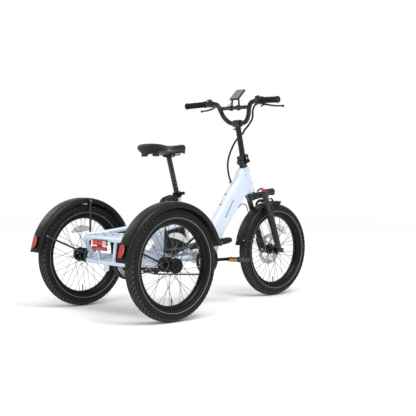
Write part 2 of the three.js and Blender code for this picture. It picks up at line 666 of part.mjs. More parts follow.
const LIGHT_FACE = CARRIER_BEHIND + CARRIER_TUBE_RADIUS + 2 * GAP;
add("tail_light", join(
  box(at(-25, LIGHT_FACE, 339), at(90, LIGHT_FACE + 9.5, 366)),
  box(at(-18, LIGHT_FACE - 2.5, 314), at(99, LIGHT_FACE + 7.5, 334)),
  box(at(20, LIGHT_FACE, 320), at(50, LIGHT_FACE + 4, 350)),
), RED, 0.2);

// ---- seat ----
const clampTop = -26;
add("seat_clamp", cut(
  join(
    rod(onSeat(0, 0, -GAP), onSeat(0, 0, clampTop), SEAT_TUBE_RADIUS + 5, 14),
    rod(onSeat(-11, -26, -13), onSeat(12, -26, -13), 8, 8),
  ),
  rod(onSeat(0, 0, 10), onSeat(0, 0, clampTop - 10), SEATPOST_RADIUS + 0.9, 14),
), BLACK, 0.4, 0.3);
add("seat_lever", join(
  rod(onSeat(-20, -28, -20), onSeat(-20, -28, -6), 8, 8),
  rod(onSeat(-20, -28, -13), onSeat(-34, 10, -13), 4, 6),
), BLACK, 0.4, 0.3);

const railZ = SEAT_HEIGHT - 56;
const headHeight = (railZ - 8 - SEAT_TUBE_TOP_HEIGHT) / Math.cos(rad(SEAT_ANGLE));
const postTop = onSeat(0, 0, -headHeight);
const railFront = postTop.y - 62;
const railRear = postTop.y + 74;
add("seatpost", join(
  rod(onSeat(0, 0, POST_INSERTION), postTop, SEATPOST_RADIUS, 14),
  box(at(-30, postTop.y - 24, railZ - 14), at(30, postTop.y + 24, railZ + 6)),
  ...[-22, 22].map((x) => rod(at(x, railFront, railZ), at(x, railRear, railZ), 3.5, 6)),
), BLACK, 0.35, 0.3);

const saddleRear = -125;
const saddleFront = saddleRear - SADDLE_LENGTH;
// Half width and thickness of the saddle along its length, from the rear (0) to the nose tip (1).
function saddleHalfWidth(t) {
  const rearRound = Math.sqrt(Math.max(0, 1 - ((0.12 - t) / 0.14) ** 2));
  const wide = t < 0.12 ? rearRound : 1 - 0.78 * THREE.MathUtils.smoothstep(t, 0.12, 0.72);
  const noseRound = t > 0.9 ? Math.sqrt(Math.max(0.09, 1 - ((t - 0.9) / 0.105) ** 2)) : 1;
  return SADDLE_WIDTH / 2 * wide * noseRound;
}
const saddleTop = (t) => SEAT_HEIGHT - 12 * Math.sin(Math.PI * t) + 3 * t;
const saddleThickness = (t) => 44 - 16 * t - 10 * (t - 0.5) ** 2;
const saddle = loft([0, 0.04, 0.12, 0.25, 0.38, 0.5, 0.62, 0.74, 0.88, 0.96, 1].map((t) => {
  const half = saddleHalfWidth(t);
  const deep = saddleThickness(t);
  const outline = [
    [-0.55, 0], [-0.86, -0.1], [-1, -0.34], [-1, -0.68], [-0.7, -1],
    [0.7, -1], [1, -0.68], [1, -0.34], [0.86, -0.1], [0.55, 0],
  ].map(([x, z]) => flat(x * half, z * deep));
  const origin = at(0, saddleRear - t * SADDLE_LENGTH, saddleTop(t));
  return { origin, x: at(1, 0, 0), y: at(0, 0, 1), outline };
}));
const railClearance = box(at(-34, saddleFront + 70, railZ - 30), at(34, saddleRear - 40, railZ + 3.5 + 4));
add("saddle", cut(saddle, railClearance), BLACK, 0.6);

// ---- battery ----
const batteryFront = SEAT_TUBE_RADIUS + 6;
const batteryBack = batteryFront + BATTERY_DEPTH;
const BATTERY_TOP = -22;
const BATTERY_BOTTOM = 275;
const batteryOutline = [
  [batteryFront, BATTERY_BOTTOM],
  [batteryFront, BATTERY_TOP],
  [batteryFront + 60, BATTERY_TOP],
  [batteryBack - 6, 34],
  [batteryBack, 52],
  [batteryBack, BATTERY_BOTTOM - 14],
  [batteryBack - 14, BATTERY_BOTTOM],
].map(([behind, down]) => {
  const point = onSeat(0, behind, down);
  return [point.y, point.z];
});
const halfBattery = BATTERY_WIDTH / 2;
const batteryCore = sidePlate([...batteryOutline].reverse(), -halfBattery + 6, halfBattery - 6);
const batteryWaist = loft([-halfBattery, halfBattery].map((x) => ({
  origin: at(x, 0, 0),
  x: at(0, 1, 0),
  y: at(0, 0, 1),
  outline: [
    onSeat(0, batteryFront + 8, BATTERY_BOTTOM - 12),
    onSeat(0, batteryBack - 12, BATTERY_BOTTOM - 20),
    onSeat(0, batteryBack - 8, 60),
    onSeat(0, batteryFront + 56, BATTERY_TOP + 10),
    onSeat(0, batteryFront + 8, BATTERY_TOP + 10),
  ].map((point) => flat(point.y, point.z)),
})));
add("battery", join(batteryCore, batteryWaist), BLACK, 0.5);

// ---- fork ----
const legX = FORK_LEG_SPAN / 2;
const CROWN_TOP = -16;
const CROWN_BOTTOM = -48;
const LOWER_TOP = -150;
const STANCHION_OVERLAP = 80;
const axleUp = headBottom.clone().sub(at(0, frontY, TYRE_RADIUS)).dot(steerUp);
const LOWER_RADIUS = 19;
const crownPieces = [
  rod(onSteer(0, 0, CROWN_BOTTOM), onSteer(0, 0, HEAD_TUBE_LENGTH + 40), STEERER_RADIUS, 8),
  rod(onSteer(0, 0, CROWN_TOP - 4), onSteer(0, 0, -GAP), HEAD_TUBE_RADIUS, 12),
  rod(onSteer(-legX, FORK_LEG_AHEAD - 4, -32), onSteer(legX, FORK_LEG_AHEAD - 4, -32), 17, 8),
  rod(onSteer(0, -14, -32), onSteer(0, FORK_LEG_AHEAD, -32), 20, 8),
];
const onLeg = (x, up, ahead = 0) => onSteer(x, FORK_LEG_AHEAD + ahead, up);
for (const [, sign] of SIDES) {
  const x = sign * legX;
  crownPieces.push(
    rod(onLeg(x, CROWN_BOTTOM - 4), onLeg(x, CROWN_TOP), 20, 8),
    rod(onLeg(x, LOWER_TOP - STANCHION_OVERLAP), onLeg(x, CROWN_TOP - 4), STANCHION_RADIUS, 8),
  );
}
add("fork_crown", join(...crownPieces), BLACK, 0.35, 0.3);

const lowerEnd = -axleUp + 26;
const ARCH_UP = -90;
const lowerPieces = [];
for (const [, sign] of SIDES) {
  const x = sign * legX;
  lowerPieces.push(
    rod(onLeg(x, lowerEnd), onLeg(x, LOWER_TOP), LOWER_RADIUS - 3, 8, LOWER_RADIUS),
    rod(onLeg(x, lowerEnd + 14), at(x * 0.92, frontY, TYRE_RADIUS), 11, 8),
    crossRod(sign * (FRONT_HUB_END + 3 + GAP), sign * (legX + 8), frontY, TYRE_RADIUS, 13, 8),
    rod(onLeg(x, LOWER_TOP - 10, 10), onLeg(x, LOWER_TOP + 14, 32), 9, 8),
    rod(onLeg(x, LOWER_TOP + 10, 31), onLeg(0.58 * x, ARCH_UP, 40), 9, 8),
  );
}
const archEnd = (sign) => onLeg(sign * 0.62 * legX, ARCH_UP, 40);
lowerPieces.push(rod(archEnd(-1), archEnd(1), 9, 8));
const boreBottom = LOWER_TOP - STANCHION_OVERLAP - FORK_TRAVEL - 10;
const stanchionBores = SIDES.map(([, sign]) => rod(
  onLeg(sign * legX, boreBottom),
  onLeg(sign * legX, LOWER_TOP + 30),
  STANCHION_RADIUS + 0.9,
  8,
));
add("fork_lowers", cut(join(...lowerPieces), ...stanchionBores), BLACK, 0.4, 0.2);

const frontCrown = TYRE_RADIUS + FRONT_FENDER_GAP;
const frontFender = arcFender(0, frontY, FRONT_FENDER_WIDTH, TYRE_RADIUS - 4, frontCrown, 7, 94, 9);
add("front_fender", frontFender, BLACK, 0.35);

// Local boxes of the steering frame: y runs rearwards from the axis and z up along it.
function steerBox(low, high) {
  return box(low, high).rotateX(-rad(STEER_ANGLE)).translate(headBottom.x, headBottom.y, headBottom.z);
}
const caliperSlot = 1.7;
add("front_caliper", cut(
  join(
    steerBox(at(FRONT_ROTOR_X - 11, -26, -axleUp + 34), at(FRONT_ROTOR_X + 11, 14, -axleUp + 100)),
    rod(onSteer(FRONT_ROTOR_X + 9, 12, -axleUp + 54), onSteer(legX, 24, -axleUp + 54), 7, 8),
  ),
  steerBox(at(FRONT_ROTOR_X - caliperSlot, -90, -axleUp), at(FRONT_ROTOR_X + caliperSlot, 30, -axleUp + 89)),
  rod(onLeg(legX, lowerEnd), onLeg(legX, LOWER_TOP), LOWER_RADIUS + 1, 12),
), BLACK, 0.45);
add("rear_caliper", cut(
  box(at(ROTOR_X - 9.5, -78, axleZ + 30), at(motorOuter - GAP, -40, axleZ + 100)),
  box(at(ROTOR_X - caliperSlot, -90, axleZ), at(ROTOR_X + caliperSlot, -20, axleZ + 89)),
), BLACK, 0.45);

add("lockout_knob", join(
  rod(onLeg(-legX, CROWN_TOP + GAP), onLeg(-legX, CROWN_TOP + 14), 13, 12),
  rod(onLeg(-legX - 17, CROWN_TOP + 11), onLeg(-legX + 8, CROWN_TOP + 11), 4, 8),
), RED, 0.4);

const lampRear = onSteer(0, 100, -45);
const lampFront = onSteer(0, 176, -71);
const lampAt = (t) => lampRear.clone().lerp(lampFront, t);
add("headlight", join(
  rod(lampAt(0.12), lampAt(0.9), 18, 14, 20),
  rod(lampAt(0), lampAt(0.14), 13, 14, 18),
  rod(lampAt(0.88), lampAt(1), 21, 14),
  rod(onSteer(0, 112, -34), onSteer(0, 96, -18), 5, 8),
  rod(onSteer(0, 98, -18), onSteer(0, 57, -20), 5, 8),
), BLACK, 0.35);

// ---- folding stem ----
const HINGE_UP = HEAD_TUBE_LENGTH + 44;
const HINGE_HALF_WIDTH = 24;
add("stem_base", cut(
  join(
    rod(headLine(HEAD_TUBE_LENGTH + GAP), headLine(HINGE_UP - 6), 22, 14),
    steerBox(at(-HINGE_HALF_WIDTH, -38, HINGE_UP - 24), at(HINGE_HALF_WIDTH, 22, HINGE_UP)),
    steerBox(at(HINGE_HALF_WIDTH - 6, -22, HINGE_UP - 14), at(HINGE_HALF_WIDTH + 7, 8, HINGE_UP - 2)),
  ),
  rod(headLine(100), headLine(HEAD_TUBE_LENGTH + 41), STEERER_RADIUS + 0.6, 12),
), BLACK, 0.4, 0.2);
const stemFoot = onSteer(0, 12, HINGE_UP);
const stemUp = at(0, Math.sin(rad(STEM_ANGLE)), Math.cos(rad(STEM_ANGLE)));
const onStem = (x, up, ahead = 0) => stemFoot.clone()
  .addScaledVector(stemUp, up)
  .add(at(x, -ahead * stemUp.z, ahead * stemUp.y));
const barCentre = onStem(0, STEM_LENGTH);
const gripDirection = at(137, 25, -6).normalize();
const gripStart = at(218, -748, 1097);
const gripPoint = (distance) => gripStart.clone().addScaledVector(gripDirection, distance);
const barEndDistance = (BAR_WIDTH / 2 - gripStart.x) / gripDirection.x - 5;
const halfBar = [
  barCentre.clone().add(at(30, 0, 0)),
  at(66, barCentre.y + 2, barCentre.z + 10),
  at(96, -772, 1022),
  at(113, -760, 1062),
  at(128, -756, 1087),
  at(158, -756, 1097),
  at(192, gripPoint(-26).y, gripPoint(-26).z + 0.5),
  gripPoint(0),
  gripPoint(45),
  gripPoint(90),
  gripPoint(barEndDistance),
];
const barPoints = [
  ...halfBar.map((point) => mirrorX(point, -1)).reverse(),
  barCentre,
  ...halfBar,
];
const barTube = (radius) => tube(barPoints, radius, 8, 38);
const CROSSBAR_Y = -764;
const CROSSBAR_Z = 1068;
add("handlebar", join(
  barTube(BAR_RADIUS),
  crossRod(-112, 112, CROSSBAR_Y, CROSSBAR_Z, 10.5, 10),
), BLACK, 0.4, 0.2);
const barClearance = barTube(BAR_RADIUS + 1.2);
add("stem_post", cut(
  join(
    steerBox(at(-HINGE_HALF_WIDTH, -38, HINGE_UP + GAP), at(HINGE_HALF_WIDTH - 1, 14, HINGE_UP + 22)),
    rod(onStem(0, 8), onStem(0, STEM_LENGTH - 10), STEM_RADIUS + 1, 12, STEM_RADIUS),
    rod(barCentre.clone().add(at(-26, 0, 0)), barCentre.clone().add(at(26, 0, 0)), 20, 12),
    rod(onStem(0, STEM_LENGTH - 30), onStem(36, STEM_LENGTH - 32), 4.5, 8),
  ),
  barClearance,
), BLACK, 0.4, 0.3);
add("stem_latch", join(
  steerBox(at(-HINGE_HALF_WIDTH - 9, -22, HINGE_UP - 20), at(-HINGE_HALF_WIDTH - 1, 4, HINGE_UP + 24)),
  steerBox(at(-HINGE_HALF_WIDTH - 12, -28, HINGE_UP - 22), at(-HINGE_HALF_WIDTH - 1, 10, HINGE_UP - 10)),
), BLACK, 0.45);

for (const [side, sign] of SIDES) {
  const outer = gripPoint((BAR_WIDTH / 2 - gripStart.x) / gripDirection.x);
  add(`grip_${side}`, cut(
    join(
      rod(mirrorX(gripPoint(0), sign), mirrorX(outer, sign), GRIP_RADIUS, 10),
      rod(mirrorX(gripPoint(0), sign), mirrorX(gripPoint(7), sign), GRIP_RADIUS + 3, 10),
      rod(mirrorX(outer.clone().addScaledVector(gripDirection, -7), sign), mirrorX(outer, sign), GRIP_RADIUS + 2, 10),
    ),
    barClearance,
  ), RUBBER, 0.85);
}

// ---- display ----
const displayLow = at(0, -750, 1115);
const displayHigh = at(0, -808, 1173);
const displayUp = displayHigh.clone().sub(displayLow);
const displayLength = displayUp.length();
displayUp.normalize();
const displayFace = at(0, displayUp.z, -displayUp.y);
const displayPoint = (x, up, out) => displayLow.clone()
  .addScaledVector(displayUp, up)
  .addScaledVector(displayFace, out)
  .add(at(x, 0, 0));
const displayBody = loft([[-12, 30], [-9, 34], [0, 34]].map(([out, half]) => ({
  origin: displayPoint(0, displayLength / 2, out),
  x: at(1, 0, 0),
  y: displayUp.clone().negate(),
  outline: [flat(-half, -41), flat(half, -41), flat(half, 41), flat(-half, 41)],
})));
const displayArms = SIDES.map(([, sign]) => {
  const foot = at(sign * 28, CROSSBAR_Y, CROSSBAR_Z);
  return join(
    rod(foot.clone().add(at(-6, 0, 0)), foot.clone().add(at(6, 0, 0)), 16, 10),
    rod(foot.clone().add(at(0, -4, 10)), displayPoint(sign * 24, 16, -9), 5.5, 8),
  );
});
add("display", cut(
  join(
    displayBody,
    ...displayArms,
    rod(displayPoint(-26, 16, -10), displayPoint(26, 16, -10), 5.5, 8),
  ),
  crossRod(-60, 60, CROSSBAR_Y, CROSSBAR_Z, 11.4, 10),
), BLACK, 0.35);

// ---- controls ----
const LEVER_TIP_X = { left: 292, right: 336 };
const PIVOT_X = 176;
const PIVOT_Y = -786;
const PIVOT_Z = 1086;
for (const [side, sign] of SIDES) {
  const place = (x, y, z) => at(sign * x, y, z);
  const hump = side === "left" ? 14 : 16;
  add(`control_${side}`, cut(
    join(
      rod(place(168, -756, 1096), place(212, -750, 1098), 18, 10),
      rod(place(PIVOT_X, -756, 1100), place(PIVOT_X, PIVOT_Y, PIVOT_Z + 14), 7, 8),
      rod(place(PIVOT_X, PIVOT_Y, PIVOT_Z + 7 + GAP), place(PIVOT_X, PIVOT_Y, PIVOT_Z + 20), 10, 10),
      rod(place(184, -752, 1104), place(184, -744, 1122), hump, 10, hump - 3),
      rod(place(200, -752, 1104), place(200, -746, 1116), hump - 2, 10, hump - 4),
    ),
    barClearance,
  ), BLACK, 0.5);
  const tipX = LEVER_TIP_X[side];
  add(`brake_lever_${side}`, join(
    rod(place(PIVOT_X, PIVOT_Y, PIVOT_Z - 7), place(PIVOT_X, PIVOT_Y, PIVOT_Z + 7), 8.5, 10),
    tube([
      place(PIVOT_X + 4, PIVOT_Y, PIVOT_Z),
      place(PIVOT_X + 30, PIVOT_Y - 12, PIVOT_Z - 8),
      place(0.5 * (PIVOT_X + tipX) + 12, PIVOT_Y - 10, PIVOT_Z - 18),
      place(tipX, PIVOT_Y, PIVOT_Z - 23),
    ], 5, 6, 8),
    rod(place(tipX - 4, PIVOT_Y, PIVOT_Z - 23), place(tipX + 4, PIVOT_Y + 1, PIVOT_Z - 23), 7, 8),
  ), BLACK, 0.35, 0.4);
}
const BUTTON_TRAVEL = 1.2;
const padFront = -733.6 + BUTTON_TRAVEL + 2 * GAP;
add("button_pad", box(at(176, padFront, 1106), at(192, padFront + 5, 1121)), GREY, 0.6);
const shiftPivot = at(-206, -776, 1078);
add("shift_lever", join(
  rod(shiftPivot.clone().add(at(0, 0, -6)), shiftPivot.clone().add(at(0, 0, 4)), 8, 8),
  rod(shiftPivot.clone(), shiftPivot.clone().add(at(-14, 34, -14)), 4, 6),
), BLACK, 0.5);
const throttlePivot = at(-205, -724, 1092);
add("throttle", join(
  rod(throttlePivot.clone().add(at(-6, 0, 0)), throttlePivot.clone().add(at(6, 0, 0)), 7, 8),
  rod(throttlePivot.clone(), throttlePivot.clone().add(at(-4, 8, -22)), 4, 6),
), BLACK, 0.5);

// ---- cables ----
// The loom leaves the right control, crosses in front of the stem and loops back into the down tube.
const loom = new THREE.CatmullRomCurve3([
  at(-150, -794, 1088),
  at(-126, -792, 1078),
  at(-114, -788, 1048),
  at(-103, -798, 1010),
  at(-72, -804, 976),
  at(-30, -814, 948),
  at(2, -827, 926),
  at(24, -814, 902),
  at(28, -788, 868),
  at(24, -752, 812),
  at(18, -732, 762),
  at(12, -730, 712),
  at(8, -740, 672),
  at(7, -747, 660),
], false, "centripetal");
const LOOM_SPLIT = 0.62;
const loomPart = (from, to, count) => tube(
  steps(count).map((t) => loom.getPointAt(from + t * (to - from))), 5.5, 8, count);
add("upper_cable", loomPart(0, LOOM_SPLIT - 0.001, 22), BLACK, 0.6);
add("lower_cable", loomPart(LOOM_SPLIT + 0.001, 1, 14), BLACK, 0.6);
add("brake_hose", tube([
  at(31, -775, 540),
  at(42, -800, 512),
  at(54, -845, 506),
  at(74, -905, 530),
  at(92, -960, 520),
  at(94, -1000, 430),
  at(90, -1020, 360),
  at(70, -1016, 330),
], 2.6, 6, 30), BLACK, 0.6);

// The whole stands with the middle of its length over the origin.
const extent = new THREE.Box3().setFromObject(trike);
trike.position.y = -(extent.min.y + extent.max.y) / 2;
const model = new THREE.Group();
model.add(trike);
export default model;
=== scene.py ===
# Adult tricycle with electric assist: the visible pieces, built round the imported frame.
# Sizes are millimetres from the point on the ground under the rear axle: +X is the rider's left,
# the front wheel is towards -Y and +Z is up. piece() turns them into the frame's metres.
import math

import bmesh
import bpy
from mathutils import Matrix, Vector, geometry


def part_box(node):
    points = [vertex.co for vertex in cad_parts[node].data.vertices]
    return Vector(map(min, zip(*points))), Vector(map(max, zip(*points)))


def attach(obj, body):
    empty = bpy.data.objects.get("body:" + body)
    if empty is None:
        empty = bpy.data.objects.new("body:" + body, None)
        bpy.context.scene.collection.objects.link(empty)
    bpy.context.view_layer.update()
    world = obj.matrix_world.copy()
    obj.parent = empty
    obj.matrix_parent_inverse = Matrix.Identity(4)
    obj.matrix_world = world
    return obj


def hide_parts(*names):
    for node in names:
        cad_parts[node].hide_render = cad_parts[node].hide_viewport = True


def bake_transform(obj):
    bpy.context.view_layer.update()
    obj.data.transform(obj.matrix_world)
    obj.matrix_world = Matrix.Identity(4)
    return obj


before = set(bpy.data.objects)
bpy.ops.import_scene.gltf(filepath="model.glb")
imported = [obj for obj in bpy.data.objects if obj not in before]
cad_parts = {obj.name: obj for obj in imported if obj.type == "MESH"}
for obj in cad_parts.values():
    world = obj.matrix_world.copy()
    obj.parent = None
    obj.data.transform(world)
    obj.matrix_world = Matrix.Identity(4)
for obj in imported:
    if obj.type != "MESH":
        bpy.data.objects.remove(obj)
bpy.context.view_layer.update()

MM = 0.001
TAU = 2 * math.pi
X = Vector((1, 0, 0))
Y = Vector((0, 1, 0))
Z = Vector((0, 0, 1))
SIDES = (("left", 1), ("right", -1))


def middle(node):
    low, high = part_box(node)
    return (low + high) / 2


DATUM = Vector((0, middle("rear_tyre_left").y, 0))
AXLE_Z = middle("rear_tyre_left").z / MM
HALF_TRACK = middle("rear_tyre_left").x / MM
FRONT_Y = (middle("front_tyre").y - DATUM.y) / MM


def at(x, y, z):
    return Vector((x, y, z))


# ---- camera, floor and light ----
CAMERA_PLACE = at(-3378.8, 2651.9, 668.4)
CAMERA_AZIMUTH = 226.387
CAMERA_ELEVATION = 1.889
CAMERA_ROLL = 0.706
CAMERA_LENS = 74.635


def make_camera():
    azimuth, elevation, roll = map(math.radians, (CAMERA_AZIMUTH, CAMERA_ELEVATION, CAMERA_ROLL))
    level = math.cos(elevation)
    back = Vector((math.sin(azimuth) * level, -math.cos(azimuth) * level, math.sin(elevation)))
    right = Z.cross(back).normalized()
    up = back.cross(right)
    turned_right = right * math.cos(roll) + up * math.sin(roll)
    turned_up = up * math.cos(roll) - right * math.sin(roll)
    camera = bpy.data.objects.new("camera", bpy.data.cameras.new("camera"))
    bpy.context.collection.objects.link(camera)
    camera.data.lens = CAMERA_LENS
    camera.data.sensor_width = 36
    camera.matrix_world = Matrix.Translation(CAMERA_PLACE * MM + DATUM) @ Matrix(
        (turned_right, turned_up, back)).transposed().to_4x4()
    bpy.context.scene.camera = camera


def make_light(name, place, target, size, power):
    lamp = bpy.data.lights.new(name, "AREA")
    lamp.shape = "DISK"
    lamp.size = size
    lamp.energy = power
    made = bpy.data.objects.new(name, lamp)
    bpy.context.collection.objects.link(made)
    made.location = place
    made.rotation_mode = "QUATERNION"
    made.rotation_quaternion = (target - Vector(place)).to_track_quat("-Z", "Y")
    return made


# ---- materials ----
def linear(code):
    """An sRGB hex colour as linear red, green, blue and alpha."""
    parts = [int(code[i:i + 2], 16) / 255 for i in (1, 3, 5)]
    return tuple(c / 12.92 if c <= 0.04045 else ((c + 0.055) / 1.055) ** 2.4 for c in parts) + (1.0,)


def node(tree, kind, links=None, **settings):
    """Adds one node; links gives its input sockets, settings its own properties."""
    made = tree.nodes.new(kind)
    for name, value in settings.items():
        setattr(made, name, value)
    for name, value in (links or {}).items():
        if isinstance(value, bpy.types.NodeSocket):
            tree.links.new(value, made.inputs[name])
        else:
            made.inputs[name].default_value = value
    return made


def finish_of(name, colour, roughness, metallic=0.0, second=None, patch_mm=60, grain_mm=1.0, grain=0.1,
              rough_range=0.08, wear=None, **shader):
    """A surface whose colour and roughness drift over patches, with a fine grain in relief."""
    made = bpy.data.materials.new(name)
    made.use_nodes = True
    tree = made.node_tree
    surface = tree.nodes["Principled BSDF"]
    place = node(tree, "ShaderNodeTexCoord").outputs["Object"]
    patches = node(tree, "ShaderNodeTexNoise", {"Vector": place, "Scale": 1000 / patch_mm, "Detail": 3.0})
    ramp = node(tree, "ShaderNodeMix", {"Factor": patches.outputs["Fac"]}, data_type="RGBA")
    ramp.inputs[6].default_value = linear(colour)
    ramp.inputs[7].default_value = linear(second or colour)
    base = ramp.outputs[2]
    if wear:
        bevel = node(tree, "ShaderNodeNewGeometry").outputs["Pointiness"]
        edge = node(tree, "ShaderNodeMapRange", {"Value": bevel, "From Min": 0.51, "From Max": 0.58})
        worn = node(tree, "ShaderNodeMix", {"Factor": edge.outputs["Result"]}, data_type="RGBA")
        tree.links.new(base, worn.inputs[6])
        worn.inputs[7].default_value = linear(wear)
        base = worn.outputs[2]
    tree.links.new(base, surface.inputs["Base Color"])
    fine = node(tree, "ShaderNodeTexNoise", {"Vector": place, "Scale": 1000 / grain_mm, "Detail": 2.0})
    spread = node(tree, "ShaderNodeMapRange", {
        "Value": patches.outputs["Fac"], "From Min": 0.3, "From Max": 0.7,
        "To Min": roughness - rough_range, "To Max": roughness + rough_range})
    tree.links.new(spread.outputs["Result"], surface.inputs["Roughness"])
    relief = node(tree, "ShaderNodeBump", {
        "Height": fine.outputs["Fac"], "Strength": grain, "Distance": grain_mm * MM * 0.5})
    tree.links.new(relief.outputs["Normal"], surface.inputs["Normal"])
    surface.inputs["Metallic"].default_value = metallic
    # Black plastics, paints and rubber throw back less than pale ones.
    surface.inputs["Specular IOR Level"].default_value = 0.22 if linear(colour)[0] < 0.01 else 0.5
    for socket, value in shader.items():
        surface.inputs[socket.replace("_", " ")].default_value = value
    return made


def prism_lens(name, colour, second, cell_mm=4.0, **shader):
    """Clear coloured plastic over small corner prisms, which glint in square cells."""
    made = finish_of(name, colour, 0.16, second=second, patch_mm=9, grain_mm=3, rough_range=0.05, **shader)
    tree = made.node_tree
    place = node(tree, "ShaderNodeTexCoord").outputs["Object"]
    cells = node(tree, "ShaderNodeTexVoronoi", {"Vector": place, "Scale": 1000 / cell_mm, "Randomness": 0.1})
    relief = node(tree, "ShaderNodeBump", {"Height": cells.outputs["Distance"], "Strength": 0.5,
            "Distance": MM})
    tree.links.new(relief.outputs["Normal"], tree.nodes["Principled BSDF"].inputs["Normal"])
    return made


def turned_metal(name, colour, roughness, ring_mm, axis="X"):
    """Metal cut on a lathe: fine rings round the wheel's axis catch the light as a fan."""
    made = finish_of(name, colour, roughness, metallic=1.0, patch_mm=25, grain_mm=0.8, grain=0.05)
    tree = made.node_tree
    place = node(tree, "ShaderNodeTexCoord").outputs["Object"]
    rings = node(tree, "ShaderNodeTexWave", {"Vector": place, "Scale": 1000 / ring_mm / TAU, "Distortion": 0.4},
                 wave_type="RINGS", rings_direction=axis)
    relief = node(tree, "ShaderNodeBump", {"Height": rings.outputs["Fac"], "Strength": 0.08,
            "Distance": 0.3 * MM})
    tree.links.new(relief.outputs["Normal"], tree.nodes["Principled BSDF"].inputs["Normal"])
    return made


# Polyester enamel over primer: pale blue, with a clear gloss coat and faint orange peel.
enamel_blue = finish_of("enamel_pale_blue", "#C6D2E2", 0.34, second="#CBD6E4", patch_mm=180, grain_mm=2.4,
                        grain=0.04, Coat_Weight=0.5, Coat_Roughness=0.12)
# The same enamel's pinstripe, in a dull sea blue.
enamel_stripe = finish_of("enamel_sea_blue_stripe", "#3C7590", 0.35, second="#447E98", Coat_Weight=0.4)
# Satin black stove enamel on steel: soft broad highlights, a little grey where edges rub.
enamel_black = finish_of("stove_enamel_satin_black", "#08090A", 0.34, second="#0C0C0D", patch_mm=70,
                         grain_mm=1.2, grain=0.08, wear="#34363A", Coat_Weight=0.25, Coat_Roughness=0.25)
# The same enamel in gloss, on the seat post: streaks of light run down the tube.
enamel_gloss = finish_of("stove_enamel_gloss_black", "#060607", 0.18, second="#08080A", patch_mm=90, grain=0.03,
                         Coat_Weight=0.7, Coat_Roughness=0.08)
# Injection-moulded polypropylene fenders: deep black with a low even sheen.
polypropylene = finish_of("moulded_polypropylene_black", "#060607", 0.36, second="#090A0B", patch_mm=120,
                          grain_mm=1.6, grain=0.1, Coat_Weight=0.15, Coat_Roughness=0.3)
# Glass-filled nylon: small parts with a dry, fine-grained skin.
nylon = finish_of("glass_filled_nylon_black", "#0B0B0C", 0.48, second="#101012", patch_mm=30, grain_mm=0.9,
                  grain=0.25, wear="#3A3B3E")
# Spark-textured ABS of the battery case: matt, with a fine leathery grain.
abs_textured = finish_of("spark_textured_abs", "#0C0C0D", 0.5, second="#111112", patch_mm=80, grain_mm=1.5,
                         grain=0.4)
# Polished ABS of lamps and display: piano-black gloss.
abs_gloss = finish_of("polished_abs_black", "#08080A", 0.2, second="#0B0B0D", grain=0.03, Coat_Weight=0.6)
# Vulcanised tread rubber: dull charcoal, dusty on the block edges.
tread_rubber = finish_of("vulcanised_tread_rubber", "#111112", 0.78, second="#181819", patch_mm=35,
                         grain_mm=1.4, grain=0.35, wear="#3B3B3B")
# Smooth sidewall rubber with the mould's faint shine.
sidewall_rubber = finish_of("sidewall_rubber", "#0D0D0E", 0.6, second="#131314", patch_mm=50, grain_mm=2.0,
                            grain=0.2)
# Retro-reflective tape vulcanised into the sidewall: pale silver grey.
reflex_tape = finish_of("reflective_sidewall_tape", "#8E9090", 0.4, second="#7F8182", patch_mm=40, metallic=0.3)
# Hard anodised aluminium rims: black with a soft metallic sheen.
anodised_black = finish_of("anodised_aluminium_black", "#0B0C0D", 0.33, metallic=0.35, second="#101113",
                           patch_mm=60, grain_mm=0.8, grain=0.06)
# Drawn stainless spokes: bright grey wire.
stainless_wire = finish_of("drawn_stainless_wire", "#6A6C6E", 0.34, metallic=1.0, second="#5A5C5F", patch_mm=40)
# Zinc-plated screws and nuts.
zinc_plate = finish_of("zinc_plated_steel", "#B9BABC", 0.32, metallic=1.0, second="#9EA0A3", patch_mm=8)
# Black-oxide socket screws: near black, slightly oily.
black_oxide = finish_of("black_oxide_screw", "#202123", 0.38, metallic=0.8, second="#2C2B2A", patch_mm=8)
# Ground stainless brake discs, with the grinder's rings.
ground_steel = turned_metal("ground_stainless_disc", "#BFC0C2", 0.28, 2.0)
# Roller chain and sprocket steel, browned with oil.
oiled_steel = finish_of("oiled_chain_steel", "#6E665C", 0.42, metallic=0.85, second="#4C453D", patch_mm=14,
                        grain_mm=0.8, grain=0.15)
# Cast aluminium motor shell under black powder coat: pebbled.
cast_shell = finish_of("powder_coated_casting", "#0B0B0C", 0.44, second="#111113", patch_mm=60, grain_mm=1.3,
                       grain=0.3, wear="#33353A")
# Forged aluminium levers, bead-blasted and anodised dark grey.
forged_grey = finish_of("bead_blasted_anodised", "#2C2D30", 0.38, metallic=0.6, second="#36373A", patch_mm=25,
                        grain_mm=0.8, grain=0.15)
# Polyurethane-coated saddle cloth: soft black skin with a fine leather grain.
saddle_skin = finish_of("coated_saddle_cloth", "#0C0C0D", 0.48, second="#101011", patch_mm=45, grain_mm=2.2,
                        grain=0.55, Sheen_Weight=0.12, Sheen_Roughness=0.5)
# Smooth lacquered side panel of the saddle.
saddle_panel = finish_of("lacquered_side_panel", "#09090A", 0.24, second="#0C0C0E", grain=0.05, Coat_Weight=0.5)
# Polyester stitching thread.
thread = finish_of("polyester_thread", "#3A3A3D", 0.6, second="#47474A", patch_mm=3)
# Thermoplastic grip rubber: matt and slightly dusty.
grip_rubber = finish_of("thermoplastic_grip_rubber", "#141415", 0.66, second="#1A1A1C", patch_mm=22,
                        grain_mm=1.2, grain=0.35)
# PVC cable jacket: smooth with a soft highlight.
pvc_jacket = finish_of("pvc_cable_jacket", "#0B0B0C", 0.42, second="#101011", patch_mm=30, grain=0.1)
# Red-anodised lockout dial.
anodised_red = finish_of("anodised_aluminium_red", "#D5201C", 0.32, metallic=0.3, second="#B8140F", patch_mm=9,
                         Coat_Weight=0.3)
# Blue printed dot on the axle cap.
cap_blue = finish_of("printed_cap_blue", "#2C94D6", 0.4, second="#3BA0DE", patch_mm=5)
